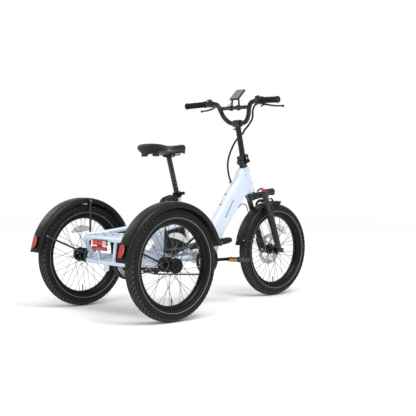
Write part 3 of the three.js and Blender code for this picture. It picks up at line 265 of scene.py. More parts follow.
# Light grey moulded cap and machined edges.
machined_grey = finish_of("machined_aluminium", "#A9ABAC", 0.34, metallic=0.8, second="#8F9193", patch_mm=12)
# Acrylic lenses with corner prisms.
lens_red = prism_lens("acrylic_lens_red", "#C8100A", "#9E0A05", Coat_Weight=0.8)
lens_orange = prism_lens("acrylic_lens_orange_red", "#DC3A1E", "#C82A10", Coat_Weight=0.8)
lens_pink = prism_lens("acrylic_lens_rose", "#E9B4AC", "#DE9C94", Coat_Weight=0.8)
lens_amber = prism_lens("acrylic_lens_amber", "#F09A12", "#DC7E08", Coat_Weight=0.6)
lens_clear = prism_lens("acrylic_lens_clear", "#DDDEDC", "#C9CCCB", Coat_Weight=0.7, Transmission_Weight=0.25)
# Toughened glass of the lamp.
lamp_glass = finish_of("lamp_glass", "#D9DCDD", 0.08, second="#CBD0D2", Coat_Weight=0.8,
                       Transmission_Weight=0.4)
# Matt anti-glare film over the unlit screen: mid grey.
screen_film = finish_of("anti_glare_screen", "#6F6D6D", 0.3, second="#747272", patch_mm=80, grain=0.02,
                        Coat_Weight=0.3)
# Brass-plated screws of the battery case.
brass = finish_of("brass_plated_screw", "#B58A3A", 0.34, metallic=0.9, second="#9C7630", patch_mm=8)
# Seamless studio paper on the floor.
studio_paper = finish_of("studio_paper", "#F4F4F4", 0.7, second="#F1F1F1", patch_mm=900, grain=0.02)


# ---- shapes: each is (corners, faces) in millimetres ----
def turned(profile, centre, axis=X, sides=48, closed=False, phase=0.0):
    """A profile of (radius, distance along the axis) turned round the axis."""
    axis = Vector(axis).normalized()
    across = (Z if abs(axis.z) < 0.9 else X).cross(axis).normalized()
    other = axis.cross(across)
    corners, rings, faces = [], [], []
    for radius, along in profile:
        if radius < 1e-6:
            rings.append([len(corners)] * sides)
            corners.append(centre + axis * along)
            continue
        rings.append([len(corners) + i for i in range(sides)])
        for i in range(sides):
            turn = TAU * (i + phase) / sides
            corners.append(centre + axis * along + (across * math.cos(turn) + other * math.sin(turn)) * radius)
    pairs = list(zip(rings, rings[1:])) + ([(rings[-1], rings[0])] if closed else [])
    for near, far in pairs:
        for i in range(sides):
            k = (i + 1) % sides
            face = []
            for corner in (near[i], near[k], far[k], far[i]):
                if corner not in face:
                    face.append(corner)
            if len(face) > 2:
                faces.append(face)
    return corners, faces


def rod(a, b, radius, end_radius=None, sides=20, edge=0.8):
    """A round bar from a to b with eased ends."""
    length = (b - a).length
    end = radius if end_radius is None else end_radius
    edge = min(edge, 0.45 * length, 0.6 * radius, 0.6 * end)
    profile = [(0, 0), (radius - edge, 0), (radius - 0.3 * edge, 0.3 * edge), (radius, edge),
               (end, length - edge), (end - 0.3 * edge, length - 0.3 * edge), (end - edge, length), (0, length)]
    return turned(profile, a, b - a, sides)


def cross(x0, x1, y, z, radius, sides=32, edge=0.8):
    return rod(at(x0, y, z), at(x1, y, z), radius, sides=sides, edge=edge)


def torus(centre, axis, radius, wire, sides=48):
    section = [(radius + wire * math.cos(TAU * i / 10), wire * math.sin(TAU * i / 10)) for i in range(10)]
    return turned(section, centre, axis, sides, closed=True)


def smooth(points, count):
    """Evenly spaced points along a centripetal Catmull-Rom curve."""
    points = [Vector(p) for p in points]
    guarded = [2 * points[0] - points[1], *points, 2 * points[-1] - points[-2]]
    dense = []
    for a, b, c, d in zip(guarded, guarded[1:], guarded[2:], guarded[3:]):
        knots = [0.0]
        for start, stop in ((a, b), (b, c), (c, d)):
            knots.append(knots[-1] + max((stop - start).length ** 0.5, 1e-4))
        for step in range(24):
            t = knots[1] + (knots[2] - knots[1]) * step / 24

            def blend(p, q, i, j):
                return (p * (knots[j] - t) + q * (t - knots[i])) / (knots[j] - knots[i])

            ab, bc, cd = blend(a, b, 0, 1), blend(b, c, 1, 2), blend(c, d, 2, 3)
            dense.append(blend(blend(ab, bc, 0, 2), blend(bc, cd, 1, 3), 1, 2))
    dense.append(points[-1])
    return evenly(dense, count)


def evenly(dense, count, closed=False):
    """count + 1 points at equal steps along a polyline, or count points round a closed one."""
    line = dense + dense[:1] if closed else dense
    lengths = [0.0]
    for a, b in zip(line, line[1:]):
        lengths.append(lengths[-1] + (b - a).length)
    wanted = [lengths[-1] * i / count for i in range(count if closed else count + 1)]
    found, k = [], 0
    for value in wanted:
        while k < len(lengths) - 2 and lengths[k + 1] < value:
            k += 1
        share = (value - lengths[k]) / max(lengths[k + 1] - lengths[k], 1e-9)
        found.append(line[k].lerp(line[k + 1], min(share, 1.0)))
    return found


def swept(path, radius, sides=16, closed=False, flat=1.0, round_ends=True):
    """A round bar along evenly spaced points; radius is a number or a function of the share of the way."""
    size = radius if callable(radius) else lambda share: radius
    count = len(path)
    tangents = []
    for i in range(count):
        before = path[i - 1] if closed or i else path[0]
        after = path[(i + 1) % count] if closed or i < count - 1 else path[-1]
        tangents.append((after - before).normalized())
    side = tangents[0].orthogonal().normalized()
    corners, faces = [], []
    scales = [(i, 1.0, 0.0) for i in range(count)]
    if not closed and round_ends:
        scales = [(0, 0.6, -0.35), (0, 0.9, -0.15), *scales, (count - 1, 0.9, 0.15), (count - 1, 0.6, 0.35)]
    for i, scale, push in scales:
        tangent = tangents[i]
        side = (side - tangent * side.dot(tangent)).normalized()
        other = tangent.cross(side)
        here = size(i / max(1, count - 1))
        for j in range(sides):
            turn = TAU * j / sides
            spoke = side * math.cos(turn) + other * math.sin(turn) * flat
            corners.append(path[i] + spoke * here * scale + tangent * push * here)
    rows = len(scales)
    for i in range(rows if closed else rows - 1):
        for j in range(sides):
            k = (j + 1) % sides
            a, b = i * sides, ((i + 1) % rows) * sides
            faces.append([a + j, a + k, b + k, b + j])
    if not closed:
        faces.append(list(range(sides)))
        faces.append([(rows - 1) * sides + j for j in range(sides)])
    return corners, faces


def loft(sections):
    """A closed skin over sections of the same number of corners."""
    count = len(sections[0])
    corners = [corner for section in sections for corner in section]
    faces = [list(range(count)), [(len(sections) - 1) * count + j for j in range(count)]]
    for i in range(len(sections) - 1):
        for j in range(count):
            k = (j + 1) % count
            faces.append([i * count + j, i * count + k, (i + 1) * count + k, (i + 1) * count + j])
    return corners, faces


def block(low, high, edge=1.5, segments=2):
    """A box with eased edges."""
    form = bmesh.new()
    bmesh.ops.create_cube(form, size=1.0)
    size, centre = high - low, (high + low) / 2
    for corner in form.verts:
        corner.co = Vector(corner.co[i] * size[i] + centre[i] for i in range(3))
    bmesh.ops.bevel(form, geom=form.edges[:], offset=min(edge, 0.45 * min(size)), segments=segments,
                    affect="EDGES", profile=0.5)
    form.verts.index_update()
    shape = [c.co.copy() for c in form.verts], [[c.index for c in f.verts] for f in form.faces]
    form.free()
    return shape


def plate(outline, low, high, place, holes=()):
    """A flat plate: a 2-D outline with holes, from depth low to high; place(u, v, depth) gives a point."""
    loops = [list(outline), *[list(hole) for hole in holes]]
    flat = [Vector((u, v, 0)) for loop in loops for u, v in loop]
    triangles = geometry.tessellate_polygon([[Vector((u, v, 0)) for u, v in loop] for loop in loops])
    count = len(flat)
    corners = [place(p.x, p.y, low) for p in flat] + [place(p.x, p.y, high) for p in flat]
    faces = [list(t) for t in triangles] + [[i + count for i in t] for t in triangles]
    start = 0
    for loop in loops:
        size = len(loop)
        for i in range(size):
            a, b = start + i, start + (i + 1) % size
            faces.append([a, b, b + count, a + count])
        start += size
    return corners, faces


def circle(u, v, radius, sides=24, phase=0.0):
    return [(u + radius * math.cos(TAU * (i + phase) / sides), v + radius * math.sin(TAU * (i + phase) / sides))
            for i in range(sides)]


def rounded(points, radius, steps=4):
    """A 2-D outline with each corner rounded off."""
    made = []
    for i, point in enumerate(points):
        corner = Vector(point)
        to_last = Vector(points[i - 1]) - corner
        to_next = Vector(points[(i + 1) % len(points)]) - corner
        reach = min(radius, 0.45 * to_last.length, 0.45 * to_next.length)
        a, b = corner + to_last.normalized() * reach, corner + to_next.normalized() * reach
        for step in range(steps + 1):
            t = step / steps
            spot = a * (1 - t) ** 2 + corner * 2 * t * (1 - t) + b * t ** 2
            made.append((spot.x, spot.y))
    return made


def side_on(x_sign=1):
    """place() for plates that face sideways: u is y, v is z, depth is x."""
    return lambda u, v, depth: at(depth * x_sign, u, v)


def moved(shape, matrix):
    corners, faces = shape
    return [matrix @ corner for corner in corners], faces


def mirrored(shape):
    corners, faces = shape
    return [at(-c.x, c.y, c.z) for c in corners], faces


def both(*shapes):
    """Each shape and its mirror image on the other side."""
    return [*shapes, *[mirrored(shape) for shape in shapes]]


def socket_screw(place, axis, radius, height=2.0):
    """A cap screw with a hexagon socket sunk in its head."""
    profile = [(0, -1.0), (radius, -1.0), (radius, height - 0.5), (radius - 0.5, height),
               (0.55 * radius, height), (0.5 * radius, height - 1.0), (0, height - 1.0)]
    return turned(profile, place, axis, 18)


def piece(name, body, groups, replaces=(), bevel=0.0, sharp=38, levels=0, ride=True):
    """One visible piece. groups lists (material, shape, shape, ...)."""
    form = bmesh.new()
    mesh = bpy.data.meshes.new(name)
    for index, (material, *shapes) in enumerate(groups):
        mesh.materials.append(material)
        for corners, faces in shapes:
            made = [form.verts.new(corner * MM + DATUM) for corner in corners]
            for face in faces:
                one = form.faces.new([made[i] for i in face])
                one.material_index = index
                one.smooth = True
    bmesh.ops.recalc_face_normals(form, faces=form.faces)
    form.to_mesh(mesh)
    form.free()
    made = bpy.data.objects.new(name, mesh)
    bpy.context.collection.objects.link(made)
    if levels:
        finer = made.modifiers.new("finer", "SUBSURF")
        finer.levels = levels
        finer.render_levels = levels
    elif bevel:
        eased = made.modifiers.new("eased edges", "BEVEL")
        eased.width = bevel * MM
        eased.segments = 2
        eased.limit_method = "ANGLE"
        eased.angle_limit = math.radians(40)
        eased.use_clamp_overlap = True
        made.modifiers.new("even shading", "WEIGHTED_NORMAL")
    else:
        mesh.set_sharp_from_angle(angle=math.radians(sharp))
    if replaces:
        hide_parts(*replaces)
    if ride:
        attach(made, body)
    return made


# ---- steering, seat and stem axes, which the pieces are placed on ----
STEER_ANGLE = math.radians(22)
SEAT_ANGLE = math.radians(17)
STEM_ANGLE = math.radians(13.7)
HEAD_BOTTOM = at(0, FRONT_Y + 202, 602.5)
HEAD_LENGTH = 149
LEG_AHEAD = 42
LEG_X = 66
SEAT_TOP = at(0, -346, 575)
STEER_FRAME = Matrix.Translation(HEAD_BOTTOM) @ Matrix.Rotation(-STEER_ANGLE, 4, "X")
SEAT_FRAME = Matrix.Translation(SEAT_TOP) @ Matrix.Rotation(-SEAT_ANGLE, 4, "X")
HINGE_UP = HEAD_LENGTH + 44
STEM_LENGTH = 202


def on_steer(x, ahead, up):
    return STEER_FRAME @ at(x, -ahead, up)


def on_seat(x, behind, down):
    return SEAT_FRAME @ at(x, behind, -down)


def on_leg(x, up, ahead=0):
    return on_steer(x, LEG_AHEAD + ahead, up)


STEM_FRAME = Matrix.Translation(on_steer(0, 12, HINGE_UP)) @ Matrix.Rotation(-STEM_ANGLE, 4, "X")


def on_stem(x, up, ahead=0):
    return STEM_FRAME @ at(x, -ahead, up)


# ---- wheels ----
TYRE_RADIUS = AXLE_Z
CARCASS_MIDDLE = TYRE_RADIUS - 29
CARCASS_HALF = 33
RIM_RADIUS = 208
RIM_INSIDE = 190
SPOKES = 36
TREAD_PITCHES = 66
# Rows of tread blocks: inner edge, outer edge, height and stagger.
TREAD_ROWS = ((0.8, 8.6, 2.4, 0.0), (10.4, 18.8, 2.3, 0.5), (20.8, 29.2, 2.1, 0.0))


def carcass(x):
    share = min(1.0, abs(x) / CARCASS_HALF)
    return CARCASS_MIDDLE + 26.4 * (1 - share ** 2.4) ** (1 / 2.2)


def tyre_profile():
    crown = []
    for i in range(25):
        turn = math.pi * i / 24
        share = abs(math.cos(turn)) ** (2 / 2.4) * (1 if turn < math.pi / 2 else -1)
        crown.append((carcass(CARCASS_HALF * share), CARCASS_HALF * share))
    wall = [(CARCASS_MIDDLE - drop, 19 + 14 * math.sqrt(1 - (drop / 29) ** 2)) for drop in (6, 12, 17, 22, 26,
            28.5)]
    bead = [(RIM_RADIUS + 0.4, 18)]
    return crown + [(r, -x) for r, x in wall + bead] + [(r, x) for r, x in reversed(wall + bead)]


def tread_blocks(centre):
    """Staggered blocks with a drafted top, which follow the round of the tyre."""
    corners, faces = [], []
    pitch = TAU / TREAD_PITCHES
    for inner, outer, height, stagger in TREAD_ROWS:
        for sign in (1, -1):
            for i in range(TREAD_PITCHES):
                start = (i + stagger + (0.25 if sign > 0 else 0)) * pitch
                first = len(corners)
                for rise, draft in ((-1.0, 0.0), (height, 0.6)):
                    for x, skew in ((inner + draft, 0.0), (outer - draft, 0.16)):
                        for share in (0.05 + 0.03 * rise, 0.68 - 0.03 * rise):
                            turn = start + (share + skew) * pitch
                            radius = carcass(x) + rise
                            corners.append(centre + at(sign * x, radius * math.cos(turn),
                                    radius * math.sin(turn)))
                a = first
                faces += [[a, a + 1, a + 3, a + 2], [a + 4, a + 5, a + 7, a + 6], [a, a + 1, a + 5, a + 4],
                          [a + 2, a + 3, a + 7, a + 6], [a, a + 2, a + 6, a + 4], [a + 1, a + 3, a + 7, a + 5]]
    return corners, faces


def sidewall_line(centre, radius, width, proud):
    """A thin ribbon on both sidewalls."""
    drop = CARCASS_MIDDLE - radius
    side = 19 + 14 * math.sqrt(1 - (drop / 29) ** 2)
    section = [(radius - width / 2, side - 1), (radius - width / 2, side + proud - 0.6),
               (radius + width / 2, side + proud), (radius + width / 2, side - 1)]
    ribbon = turned(section, centre, X, 120, closed=True)
    other = turned([(r, -x) for r, x in section], centre, X, 120, closed=True)
    return [ribbon, other]


RIM_PROFILE = [(208, 20), (209.5, 21), (208.5, 22), (203, 21.6), (198, 18.5), (193, 13), (190.6, 7), (190, 0),
               (190.6, -7), (193, -13), (198, -18.5), (203, -21.6), (208.5, -22), (209.5, -21), (208, -20)]


def spokes(centre, flanges, flange_radius):
    """Tangent-laced wires and their nipples."""
    wires, nipples = [], []
    for i in range(SPOKES):
        side = i % 2
        lean = 1 if (i // 2) % 2 else -1
        rim_turn = (i + 0.5) * TAU / SPOKES
        hub_turn = rim_turn + lean * math.radians(68)
        start = centre + at(flanges[side] + lean * 1.6, flange_radius * math.cos(hub_turn),
                            flange_radius * math.sin(hub_turn))
        end = centre + at(0.12 * flanges[side], (RIM_INSIDE + 1) * math.cos(rim_turn),
                          (RIM_INSIDE + 1) * math.sin(rim_turn))
        wires.append(rod(start, end, 1.15, sides=6, edge=0.2))
        nipples.append(rod(end.lerp(start, 0.08), end, 1.7, 2.1, sides=6, edge=0.2))
    return wires, nipples


def bottom_valve(centre):
    inwards = at(0, 0, 1)
    foot = centre - inwards * (RIM_INSIDE + 2)
    return [rod(foot, foot + inwards * 16, 2.8, sides=12), rod(foot + inwards * 14, foot + inwards * 34, 3.4,
            2.9, 12)]


def spoke_reflector(centre, turn):
    """A clear lens-shaped bar clipped across the spokes."""
    radius = 140
    across = at(0, math.cos(turn), math.sin(turn))
    along = at(0, -math.sin(turn), math.cos(turn))
    upper = [(60 * math.cos(math.pi * i / 16), 15 * math.sin(math.pi * i / 16) ** 0.8) for i in range(17)]
    outline = upper + [(-u, -v) for u, v in upper[1:-1]]

    def place(u, v, depth):
        bend = radius - u * u / (2 * radius)
        return centre + across * (bend + v) + along * u + X * depth

    return plate(outline, -3.5, 3.5, place)


def wheel(name, body, tyre_node, rim_node, reflector_turn):
    centre = (middle(tyre_node) - DATUM) / MM
    tyre = turned(tyre_profile(), centre, X, 128, closed=True)
    tape = sidewall_line(centre, TYRE_RADIUS - 43, 2.0, 0.9)
    ribs = sidewall_line(centre, TYRE_RADIUS - 54, 1.6, 1.1) + sidewall_line(centre, TYRE_RADIUS - 36, 1.0, 0.8)
    piece(f"{name}_tyre_casing", body, [
        (sidewall_rubber, tyre, *ribs), (tread_rubber, tread_blocks(centre)), (reflex_tape, *tape),
    ], [tyre_node], sharp=50)
    rim = turned(RIM_PROFILE, centre, X, 128, closed=True)
    piece(f"{name}_rim_hoop", body, [
        (anodised_black, rim), (nylon, *bottom_valve(centre)),
    ], [rim_node], sharp=50)
    piece(f"{name}_spoke_reflector", body, [(lens_clear, spoke_reflector(centre, reflector_turn))],
          bevel=0.8)
    return centre


# Half profile of a rear hub from its inner end to the outer cap, as radius and distance outwards.
REAR_HUB = [(0, -50), (20, -50), (22, -48), (22, -33), (26, -32), (35.5, -31), (37, -29.5), (37, -23.5), (35.5,
        -22),
            (24, -20), (18.5, -12), (18.5, 12), (24, 20), (35.5, 22), (37, 23.5), (37, 27.5), (36, 29), (34,
                    29.6),
            (34, 32), (32.6, 32.8), (32.6, 34.4), (34, 35.2), (34, 40), (32, 42), (25, 42), (24, 40), (12, 40),
            (11, 43), (4, 43), (3.5, 40), (0, 40)]
REAR_FLANGES = (-26, 26)


def make_rear_wheels():
    for side, sign in SIDES:
        body = f"rear_wheel_{side}"
        centre = wheel(f"rear_{side}", body, f"rear_tyre_{side}", f"rear_rim_{side}",
                       math.radians(84 if sign > 0 else 107))
        hub = turned([(r, a * sign) for r, a in REAR_HUB], centre, X, 48)
        low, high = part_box(f"rear_hub_{side}")
        inner = (low.x if sign > 0 else high.x) / MM
        shaft = cross(*sorted((inner, centre.x - sign * 45)), centre.y, centre.z, 8, 20)
        wires, nipples = spokes(centre, [f * sign for f in REAR_FLANGES], 33)
        screws = [socket_screw(centre + at(sign * 41.6, 28.4 * math.cos(TAU * i / 6),
                28.4 * math.sin(TAU * i / 6)),
                               X * sign, 2.6, 1.2) for i in range(6)]
        splines = [cross(*sorted((centre.x + sign * 35.6, centre.x + sign * 39.6)),
                         centre.y + 33.5 * math.cos(TAU * i / 20), centre.z + 33.5 * math.sin(TAU * i / 20),
                         1.2, 8)
                   for i in range(20)]
        piece(f"rear_{side}_hub_shell", body, [
            (anodised_black, hub, *splines), (stainless_wire, *wires), (zinc_plate, *nipples, shaft),
            (black_oxide, *screws),
        ], [f"rear_hub_{side}"])


FRONT_HUB = [(0, -36), (13, -36), (15, -34), (15, -28), (26, -26.5), (27, -25.5), (27, -22), (26, -21), (16,
        -18),
             (13.5, -10), (13.5, 10), (16, 17), (26, 19), (27, 20), (27, 24), (26, 25), (16, 26), (15, 28),
             (15, 31), (0, 31)]
FRONT_FLANGES = (-24, 22)


def make_front_wheel():
    centre = wheel("front", "front_wheel", "front_tyre", "front_rim", math.radians(118))
    wires, nipples = spokes(centre, FRONT_FLANGES, 24)
    axle = cross(centre.x - 39, centre.x + 39, centre.y, centre.z, 6.6, 20)
    piece("front_hub_shell", "front_wheel", [
        (anodised_black, turned(FRONT_HUB, centre, X, 48)), (stainless_wire, *wires),
        (zinc_plate, *nipples, axle),
    ], ["front_hub"])


# ---- brake discs ----
DISC_RADIUS = 90
DISC_THICKNESS = 2.4


def disc_outline(radius):
    """The wavy rim of a disc."""
    count = 96
    return [((radius - 1.3 + 1.3 * math.cos(12 * TAU * i / count)) * math.cos(TAU * i / count),
             (radius - 1.3 + 1.3 * math.cos(12 * TAU * i / count)) * math.sin(TAU * i / count))
            for i in range(count)]


def disc_window(start, sweep, inner, outer):
    """An opening between two arms, swept like the blades of a fan."""
    steps = 8
    outside = [(outer, start + sweep * i / steps) for i in range(steps + 1)]
    inside = [(inner, start - 0.35 + sweep * i / steps) for i in range(steps, -1, -1)]
    return [(r * math.cos(t), r * math.sin(t)) for r, t in outside + inside]


def brake_disc(name, body, node_name, bore):
    centre = (middle(node_name) - DATUM) / MM
    windows = [disc_window(TAU * i / 6, 0.72, 32, 66) for i in range(6)]
    drillings = []
    for i in range(24):
        turn = TAU * (i + 0.5) / 24
        radius = 74 + 5.5 * (i % 3)
        drillings.append(circle(radius * math.cos(turn), radius * math.sin(turn), 2.7, 10))
    disc = plate(disc_outline(DISC_RADIUS), -DISC_THICKNESS / 2, DISC_THICKNESS / 2,
                 lambda u, v, depth: centre + at(depth, u, v),
                 [circle(0, 0, bore, 24), *windows, *drillings])
    screws = [socket_screw(centre + at(-1.2, 22 * math.cos(TAU * i / 6), 22 * math.sin(TAU * i / 6)), -X, 3.0,
                           1.6)
              for i in range(6)]
    piece(name, body, [(ground_steel, disc), (black_oxide, *screws)], [node_name], sharp=30)


# ---- main frame ----
CRANK_Y = -500
CRANK_Z = 240
BEAM_TOP = CRANK_Z + 52
TUBE_WIDTH = 52


def head_line(up, back, rise):
    return on_steer(0, 0, up) + at(0, back, rise)


# Top line and underside of the down tube, from the seat tube to the head tube.
BEAM = [
    (at(0, -400, BEAM_TOP), at(0, -400, CRANK_Z - 6)),
    (at(0, CRANK_Y, BEAM_TOP), at(0, CRANK_Y - 5, CRANK_Z - 12)),
    (at(0, -548, BEAM_TOP + 26), at(0, -588, CRANK_Z)),
    (at(0, -566, 370), at(0, -628, 290)),
    (at(0, -588, 430), at(0, -662, 362)),
    (at(0, -628, 483), at(0, -704, 424)),
    (at(0, -663, 532), at(0, -748, 476)),
    (at(0, -700, 587), at(0, -790, 527)),
    (head_line(98, 88, -24), head_line(0, 58, -24)),
    (head_line(118, 60, -2), head_line(4, 30, -14)),
    (head_line(136, 32, 6), head_line(10, 12, 0)),
]


def tube_section(top, under):
    """A tall section with a narrow flat top, a crease below it and round lower corners."""
    up = (top - under).normalized()
    depth = (top - under).length
    half = TUBE_WIDTH / 2
    outline = rounded([(0.52 * half, 0), (half, -15), (half, -depth), (-half, -depth), (-half, -15),
                       (-0.52 * half, 0)], 9, 3)
    return [top + X * u + up * v for u, v in outline]


def down_tube():
    tops = [pair[0] for pair in BEAM]
    unders = [pair[1] for pair in BEAM]
    sections = []
    for i in range(len(BEAM) - 1):
        for share in (0, 0.25, 0.5, 0.75):
            sections.append(tube_section(spline(tops, i, share), spline(unders, i, share)))
    sections.append(tube_section(tops[-1], unders[-1]))
    return loft(sections)


def spline(points, i, t):
    """A point on the curve through the points, part t of the way from point i to the next."""
    a = points[max(i - 1, 0)]
    b, c = points[i], points[i + 1]
    d = points[min(i + 2, len(points) - 1)]
    return 0.5 * (2 * b + (c - a) * t + (2 * a - 5 * b + 4 * c - d) * t * t + (3 * b - a - 3 * c + d) * t ** 3)


def tube_ring(inner, outer, low, high, centre, axis, sides=40):
    """A hollow tube with eased rims."""
    ease = min(0.8, 0.3 * (outer - inner))
    profile = [(inner, low), (outer - ease, low), (outer, low + ease), (outer, high - ease), (outer - ease,
            high),
               (inner, high)]
    return turned(profile, centre, axis, sides, closed=True)


SEAT_TUBE_RADIUS = 17.5
SEAT_TUBE_DEPTH = 300
TOP_BOLTS = ((-701, 588), (-663, 532), (-629.5, 481))


def make_main_frame():
    steer_up = (on_steer(0, 0, 1) - HEAD_BOTTOM).normalized()
    ahead = (on_steer(0, 1, 0) - HEAD_BOTTOM).normalized()
    seat_up = (on_seat(0, 0, -1) - SEAT_TOP).normalized()
    bosses = []
    for rise in (38, 112):
        foot = on_steer(0, 18, rise)
        bosses.append(turned([(6, 0), (7, 1), (7, 19.2), (6.2, 20), (3.4, 20), (3.4, 12), (0, 12)], foot, ahead,
                             24))
        bosses.append(torus(on_steer(0, 23.5, rise), ahead, 7.2, 1.6, 24))
    weld_seat = torus(at(0, -433, BEAM_TOP + 2), seat_up, SEAT_TUBE_RADIUS + 1, 2.6, 36)
    lower_rim = 30
    shapes = [
        down_tube(),
        tube_ring(15.2, 24, 0, HEAD_LENGTH, HEAD_BOTTOM, steer_up),
        tube_ring(15.2, 28, 0.5, 13, HEAD_BOTTOM, steer_up),
        tube_ring(15.2, 27, HEAD_LENGTH - 12, HEAD_LENGTH - 0.2, HEAD_BOTTOM, steer_up),
        tube_ring(14.6, SEAT_TUBE_RADIUS, -SEAT_TUBE_DEPTH, 0, SEAT_TOP, seat_up),
        tube_ring(14.6, SEAT_TUBE_RADIUS + 1.6, -16, -0.4, SEAT_TOP, seat_up),
        weld_seat,
        tube_ring(11, 23, -34, 34, at(0, CRANK_Y, CRANK_Z), X),
        tube_ring(11, lower_rim - 5, 27, 33.5, at(0, CRANK_Y, CRANK_Z), X),
        tube_ring(11, lower_rim - 5, -33.5, -27, at(0, CRANK_Y, CRANK_Z), X),
        *bosses,
    ]
    # One plain stripe on each flank follows the tube.
    stripe_top, stripe_low = at(0, -738, 560), at(0, -676, 460)
    along = (stripe_top - stripe_low).normalized()
    across = along.cross(X)
    outline = rounded([(-58, -3.2), (58, -3.2), (58, 3.2), (-58, 3.2)], 3.2, 4)
    centre = (stripe_top + stripe_low) / 2

    def on_flank(u, v, depth):
        return centre + along * u + across * v + X * depth

    stripes = both(plate(outline, TUBE_WIDTH / 2 - 0.2, TUBE_WIDTH / 2 + 0.25, on_flank))
    normal = at(0, 0.83, 0.56).normalized()
    bolts = [socket_screw(at(0, y, z) - normal * 0.6, normal, 5.0, 2.2) for y, z in TOP_BOLTS]
    cable_port = torus(at(7, -742.5, 655), at(0, 0.5, 0.87).normalized(), 8, 2.2, 28)
    piece("frame_weldment", "frame", [
        (enamel_blue, *shapes), (enamel_stripe, *stripes), (black_oxide, *bolts), (nylon, cable_port),
    ], ["main_frame"], sharp=32)


# ---- rear frame ----
CARRIER_Y = 112
CARRIER_Z = 371
LOWER_BAR_Z = 256
CROSS_TOP = 395
STAY_Z = 262
PLATE_X = 165
PLATE_OUTLINE = [(-109, 335), (-94, 278), (-14, 258), (10, 266), (8, 284), (-9, 315), (-53, 359), (-14, 390),
                 (-73, 413), (-108, 428)]


def long_slot(y, z, half_width, half_height):
    return rounded([(y - half_width, z - half_height), (y + half_width, z - half_height),
                    (y + half_width, z + half_height), (y - half_width, z + half_height)], half_width, 5)


def bent_bar(half, radius):
    """A carrier bar: straight across the back, then bent forwards to the axle tube at both ends."""
    right = [at(-p.x, p.y, p.z) for p in reversed(half[1:])]
    return swept(smooth(right + half, 120), radius, 20)


def make_rear_frame():
    shapes = [
        bent_bar([at(0, CARRIER_Y, CARRIER_Z), at(80, CARRIER_Y, CARRIER_Z), at(150, CARRIER_Y, CARRIER_Z),
                  at(178, CARRIER_Y - 2, CARRIER_Z - 2), at(200, CARRIER_Y - 16, CARRIER_Z - 19),
                  at(234, 50, 316), at(268, 4, 280)], 12),
        bent_bar([at(0, CARRIER_Y, LOWER_BAR_Z), at(80, CARRIER_Y, LOWER_BAR_Z),
                  at(150, CARRIER_Y - 2, LOWER_BAR_Z), at(178, CARRIER_Y - 16, LOWER_BAR_Z + 1),
                  at(228, 51, 260), at(276, 8, 262)], 10),
        tube_ring(12.4, 20, -289, -82, at(0, 0, AXLE_Z), X),
        tube_ring(12.4, 20, -12, 289, at(0, 0, AXLE_Z), X),
        block(at(-200, -16, CROSS_TOP - 14), at(200, 14, CROSS_TOP), 3, 3),
        block(at(-144, 0, CARRIER_Z + 9), at(144, CARRIER_Y, CARRIER_Z + 16), 1.5),
        rod(at(-32, -381, 471), at(32, -381, 471), 12, sides=28, edge=2),
    ]
    tab = plate(rounded([(-19, 216), (19, 216), (19, LOWER_BAR_Z), (-19, LOWER_BAR_Z)], 9, 5), CARRIER_Y - 3,
                CARRIER_Y + 3, lambda u, v, depth: at(u, depth, v), [circle(0, 230, 7.5, 28)])
    slanted = rounded([(-73, 332), (-59, 297), (-49, 301), (-63, 336)], 4, 4)
    diamond = rounded([(-83, 393), (-75, 401), (-83, 409), (-91, 401)], 1.5, 3)
    shapes += [tab, plate(rounded(PLATE_OUTLINE, 5, 4), -PLATE_X - 7, -PLATE_X, side_on(),
                          [slanted, diamond, long_slot(-85, 329.5, 3.5, 8.5)])]
    stay = smooth([at(185, 100, 384), at(160, 20, 392), at(74, -340, 452), at(30, -380, 470)], 30)
    welds = [torus(at(x, CARRIER_Y, z), Z, 8.4, 2.2, 24) for x, z in ((71, CARRIER_Z - 12),
            (58, LOWER_BAR_Z + 10))]
    shapes += both(
        rod(at(72, CARRIER_Y, CARRIER_Z - 4), at(56, CARRIER_Y, LOWER_BAR_Z + 3), 8, sides=24),
        rod(at(112, CARRIER_Y, LOWER_BAR_Z), at(150, 0, AXLE_Z), 8),
        swept(stay, 11, 18),
        rod(at(40, -402, STAY_Z), at(112, -150, STAY_Z), 12, edge=2),
        rod(at(110, -158, STAY_Z), at(140, -6, AXLE_Z), 12, edge=2),
        cross(20, 48, -402, STAY_Z, 13),
        torus(at(268, 4, 279), (at(268, 4, 280) - at(234, 50, 316)).normalized(), 12.4, 2.2, 30),
        torus(at(284, 0, AXLE_Z), X, 20, 2.6, 36),
        *welds,
    )
    caps = both(socket_screw(at(120, -1, CROSS_TOP), Z, 4.5, 3), socket_screw(at(46, -1, CROSS_TOP), Z, 4.5, 3))
    deck_screws = both(*[socket_screw(at(x, y, CARRIER_Z + 16), Z, 4, 2.4) for x in (50, 130) for y in (34,
            84)])
    piece("rear_weldment", "frame", [
        (enamel_blue, *shapes), (black_oxide, *caps, *deck_screws),
    ], ["rear_frame"], sharp=34)


# ---- motor, rear brake and chain ----
MOTOR_INNER = -14
MOTOR_OUTER = -46
MOTOR_RADIUS = 97
CHAIN_X = -66
CHAIN_PITCH = 12.7
RING_TEETH = 38
SPROCKET_TEETH = 19
JOCKEY_TEETH = 11
JOCKEY = at(CHAIN_X, -150, 212)


